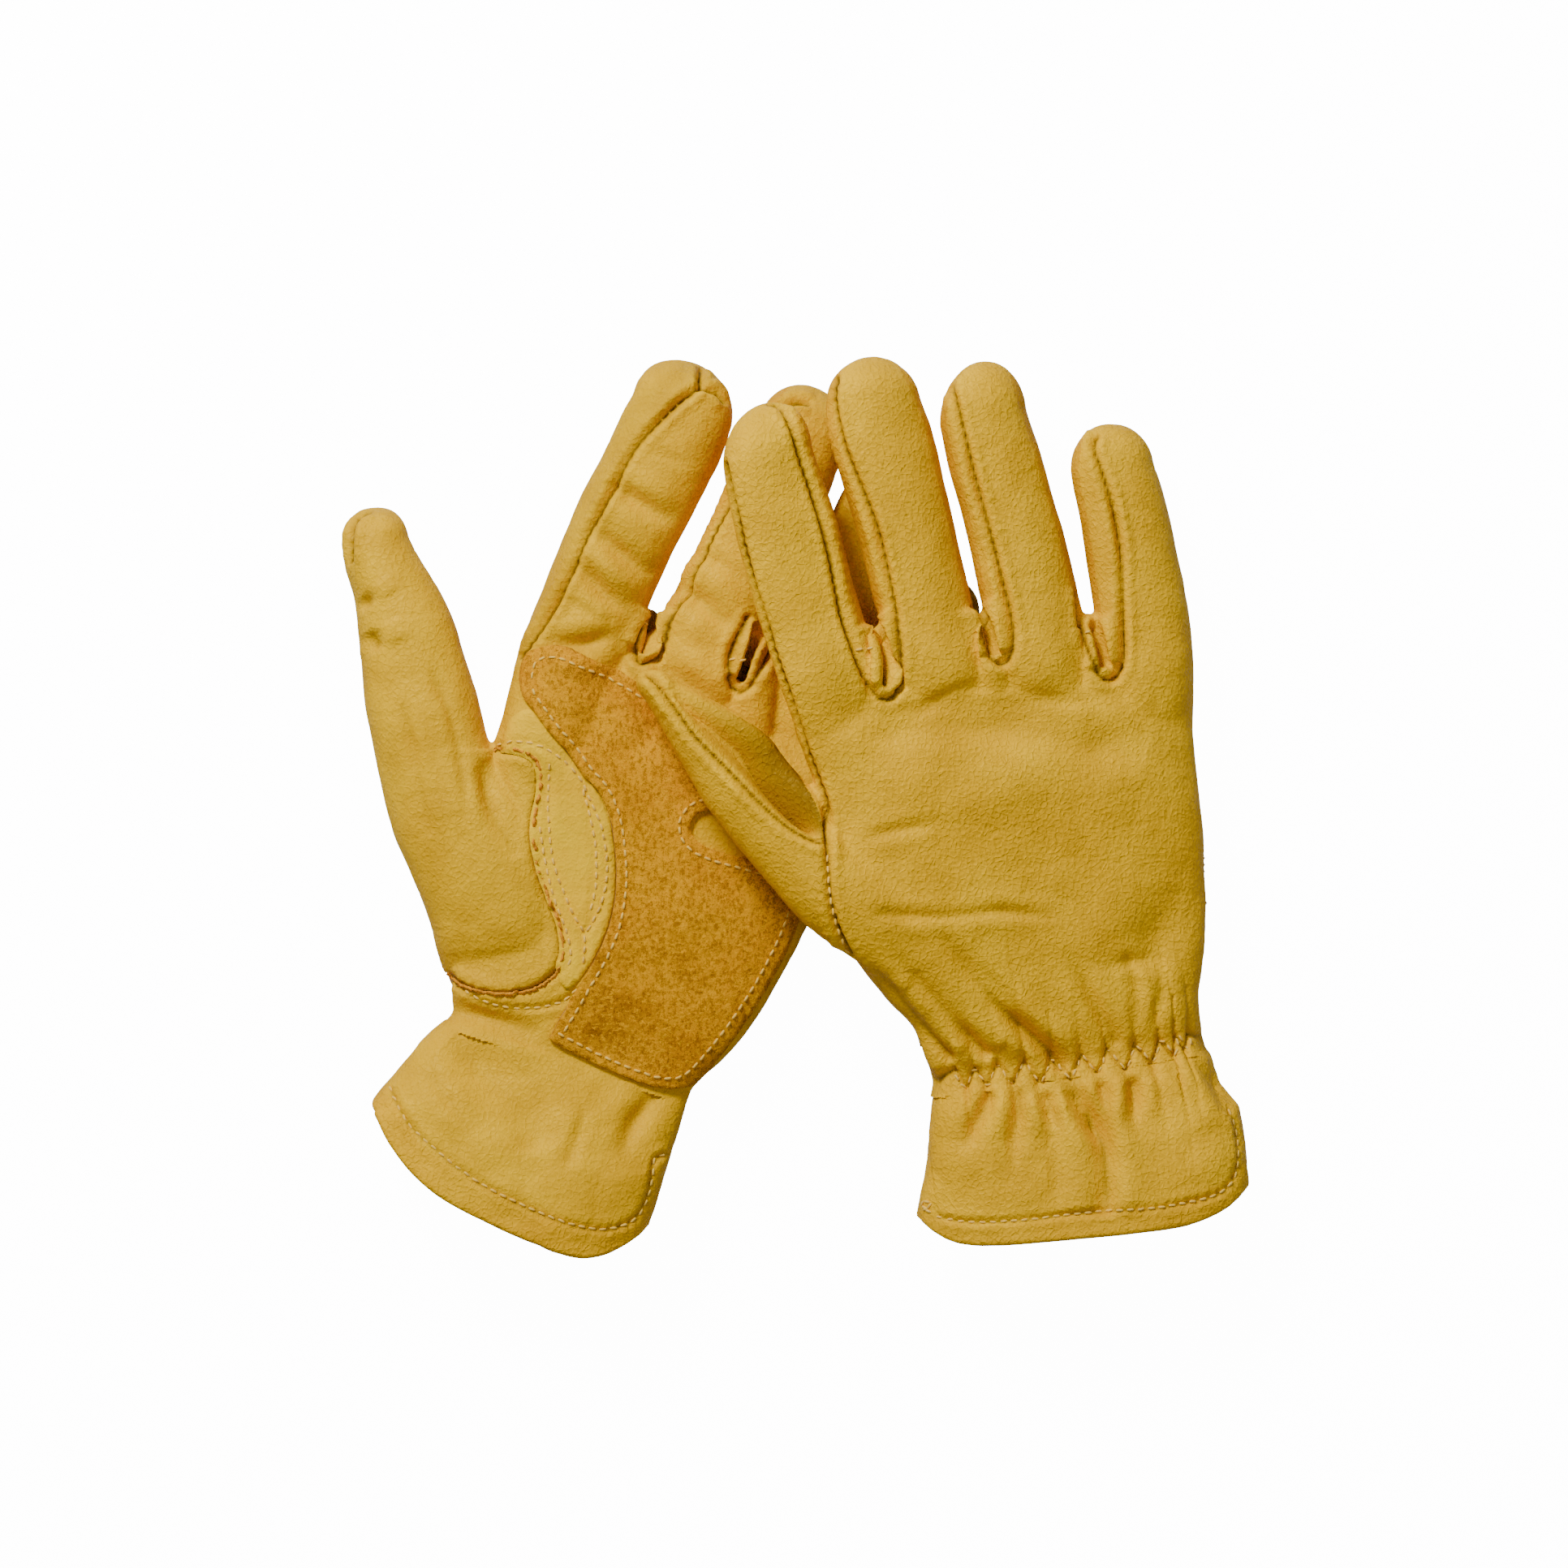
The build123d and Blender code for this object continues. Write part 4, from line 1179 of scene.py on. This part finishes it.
right_end = build_cuff("right", RIGHT_WRIST, RIGHT_CUFF, 9.2, (7, 5), right_mid,
                       CUFF_LINES_RIGHT + [("sewn", RIGHT_HEM)], 1)
left_end = build_cuff("left", LEFT_WRIST, LEFT_CUFF, 16.5, (2.4, 6), left_mid,
                      CUFF_LINES_LEFT + [("sewn", LEFT_HEM)], -1)

for side, wrist, mid, half in (("right", RIGHT_WRIST, right_mid, 13.6), ("left", LEFT_WRIST, left_mid, 11.6)):
    co, faces = band(wrist, mid, half, 7.0, 8.0)
    made = make_mesh(f"{side}_elastic_band", co, faces, ELASTIC)
    add_piece(made, f"{side}_hand", [f"{side}_wrist_elastic"])

# ------------------------------------------------------------------ sewn-on leather

PATCH = [(-78, 36), (-77.5, 40.6), (-75.2, 44.3), (-70.5, 45.7), (-65.9, 45.2), (-59.4, 42.5), (-52.9, 40),
         (-46.4, 36.4), (-38, 31), (-28, 25), (-16, 19), (-7, 13), (-2, 8), (-6, 3.5), (-14, 1.5),
         (-22.5, -0.4), (-27.6, -1.4), (-30.2, -5), (-29, -8.6), (-25.9, -11), (-20.7, -12.9), (-14.3, -14.6),
         (-6, -17), (0, -20), (2, -25), (0.2, -33), (-3.4, -41.6), (-9.2, -52.4), (-16.4, -63.4),
         (-23, -71.8), (-28.2, -77.4), (-32.6, -80), (-38.6, -80.2), (-44.9, -78.4), (-52.3, -75.4),
         (-60.7, -71.4), (-69.4, -66.4), (-69.4, -64), (-65, -56.6), (-60.2, -48.2), (-56, -40.8),
         (-52.8, -32.4), (-51.3, -22.9), (-51.3, -15.5), (-52.8, -3.9), (-56, 4), (-60.3, 9), (-65, 15.5),
         (-70.5, 22), (-75.2, 28.5), (-77.4, 32)]
LEAF_SHAPE = [(-84, 15.6), (-78, 14.6), (-74.4, 11.5), (-74, 5), (-75.4, -2), (-75.8, -9), (-74, -18),
              (-71, -26.5), (-68.2, -34), (-67.4, -41), (-68.4, -46), (-65, -52), (-60, -47), (-56, -40),
              (-53, -32), (-51.6, -23), (-51.6, -15), (-53, -4), (-56.4, 4.2), (-61, 10), (-66, 16.6),
              (-71, 23.5), (-76, 28), (-82, 24)]


def patches(side, tree, top, place):
    """The suede palm patch and the thin leaf beside it. Returns the surfaces of the leaf and the patch."""
    leaf, over_leaf = applique(f"{side}_leaf_piece", place(LEAF_SHAPE), tree, top, 0.35, 0.05, (LEAF, CUT),
                               1.4, 0.05)
    add_piece(leaf, f"{side}_hand", [f"{side}_crotch_leaf"])
    patch, over = applique(f"{side}_suede_piece", place(PATCH), tree, top, 1.25, 0.2, (SUEDE, CUT))
    add_piece(patch, f"{side}_hand", [f"{side}_palm_patch"])
    return over_leaf, over


left_leaf, left_patch = patches("left", left, 1, lambda p: p)
_, right_patch = patches("right", right, -1, on_right_palm)

add_piece(raw_edge("left_thumb_edge", LAP, left, 0.55, RAW), "left_hand", [])

# ------------------------------------------------------------------ thread


def inset(outline, by):
    """The outline drawn in by this much, as a closed run."""
    line = curve(list(outline) + [outline[0]], 3.0)[:-1]
    ahead = np.roll(line, -1, 0) - np.roll(line, 1, 0)
    ahead /= np.linalg.norm(ahead, axis=1)[:, None]
    area = 0.5 * (line[:, 0] * np.roll(line[:, 1], -1) - np.roll(line[:, 0], -1) * line[:, 1]).sum()
    inward = np.stack([-ahead[:, 1], ahead[:, 0]], 1) * (1 if area > 0 else -1)
    moved = line + inward * by
    return np.vstack([moved, moved[:1]]).tolist()


PATCH_THREAD = inset(PATCH, PATCH_SEAM)
sew("left_palm_thread", [(path, 1) for path in [PATCH_THREAD] + PALM_THREAD], [left, left_leaf, left_patch],
    "left_hand")
sew("right_palm_thread", [(on_right_palm(PATCH_THREAD), -1)], [right, right_patch], "right_hand")

RIGHT_THREAD = [(ZIG, 1), ([(8.9, -12.8), (9.7, -24.4), (12.1, -34.9), (16.9, -44.4), (21, -49.7)], 1),
                ([(16.5, 44.4), (20, 44.9), (25, 44.9)], 1), ([(81.6, 49.8), (86, 50.1)], 1)]
sew("right_back_thread", RIGHT_THREAD, [right, right_end], "right_hand")
TACK = [(35.9 + k % 2 * 2.4, -111.9 - k * 0.42) for k in range(9)]
sew("right_hem_thread", [(RIGHT_HEM, 1), (TACK, 1)], [right_end], "right_hand", "right_cuff")
sew("left_hem_thread", [(LEFT_HEM, 1)], [left_end], "left_hand", "left_cuff")
FORK_THREAD = [([(-44.6, 52.7), (-41, 52.7)], 1), ([(-19.5, 42.4), (-13.5, 42)], 1)]
sew("left_fork_thread", FORK_THREAD, [left], "left_hand")

# ------------------------------------------------------------------ table, light and camera



def sheet(name, height, material):
    """Large square for the gloves to lie on."""
    corners = [(x * TABLE, y * TABLE, height) for x, y in ((-1, -1), (1, -1), (1, 1), (-1, 1))]
    return make_mesh(name, corners, [(0, 1, 2, 3)], material)


floor = sheet("table_top", 0, fibre("pale_table", (0.93, 0.93, 0.92), (0.90, 0.90, 0.89), 4.0, 0.00001,
                                    {"Specular IOR Level": 0.1}))
glow = floor.data.materials[0].node_tree.nodes["Principled BSDF"]
glow.inputs["Emission Color"].default_value = (1, 1, 1, 1)
glow.inputs["Emission Strength"].default_value = 14.0
floor.visible_diffuse = floor.visible_glossy = floor.visible_shadow = False
under = sheet("table_under", -1, fibre("table_under", (0.5, 0.5, 0.5), (0.45, 0.45, 0.45), 4.0, 0.00001, {}))
under.visible_camera = False

world = bpy.data.worlds.new("soft_white")
bpy.context.scene.world = world
world.use_nodes = True
sky = world.node_tree.nodes["Background"].inputs
sky["Color"].default_value, sky["Strength"].default_value = (1, 1, 1, 1), 0.17


def lamp(name, place, size, power):
    """Round lamp that shines at the middle of the table."""
    light = bpy.data.lights.new(name, "AREA")
    light.shape, light.size, light.energy = "DISK", size, power
    made = stand(name, light)
    made.location = place
    made.rotation_euler = (-Vector(place)).to_track_quat("-Z", "Y").to_euler()


lamp("key", (-0.64, 1.2, 1.12), 0.5, 36.0)
lamp("fill", (0.5, -0.3, 1.7), 1.0, 4.5)

shot = bpy.data.cameras.new("camera")
SENSOR, DISTANCE, SEEN = 36.0, 2000, 448.2  # the sensor's width, and the width seen at a distance
shot.sensor_width = SENSOR
shot.lens = SENSOR * DISTANCE / SEEN
camera = stand("camera", shot)
camera.location = (-0.00325, 0.0067, 2.02)
bpy.context.scene.camera = camera
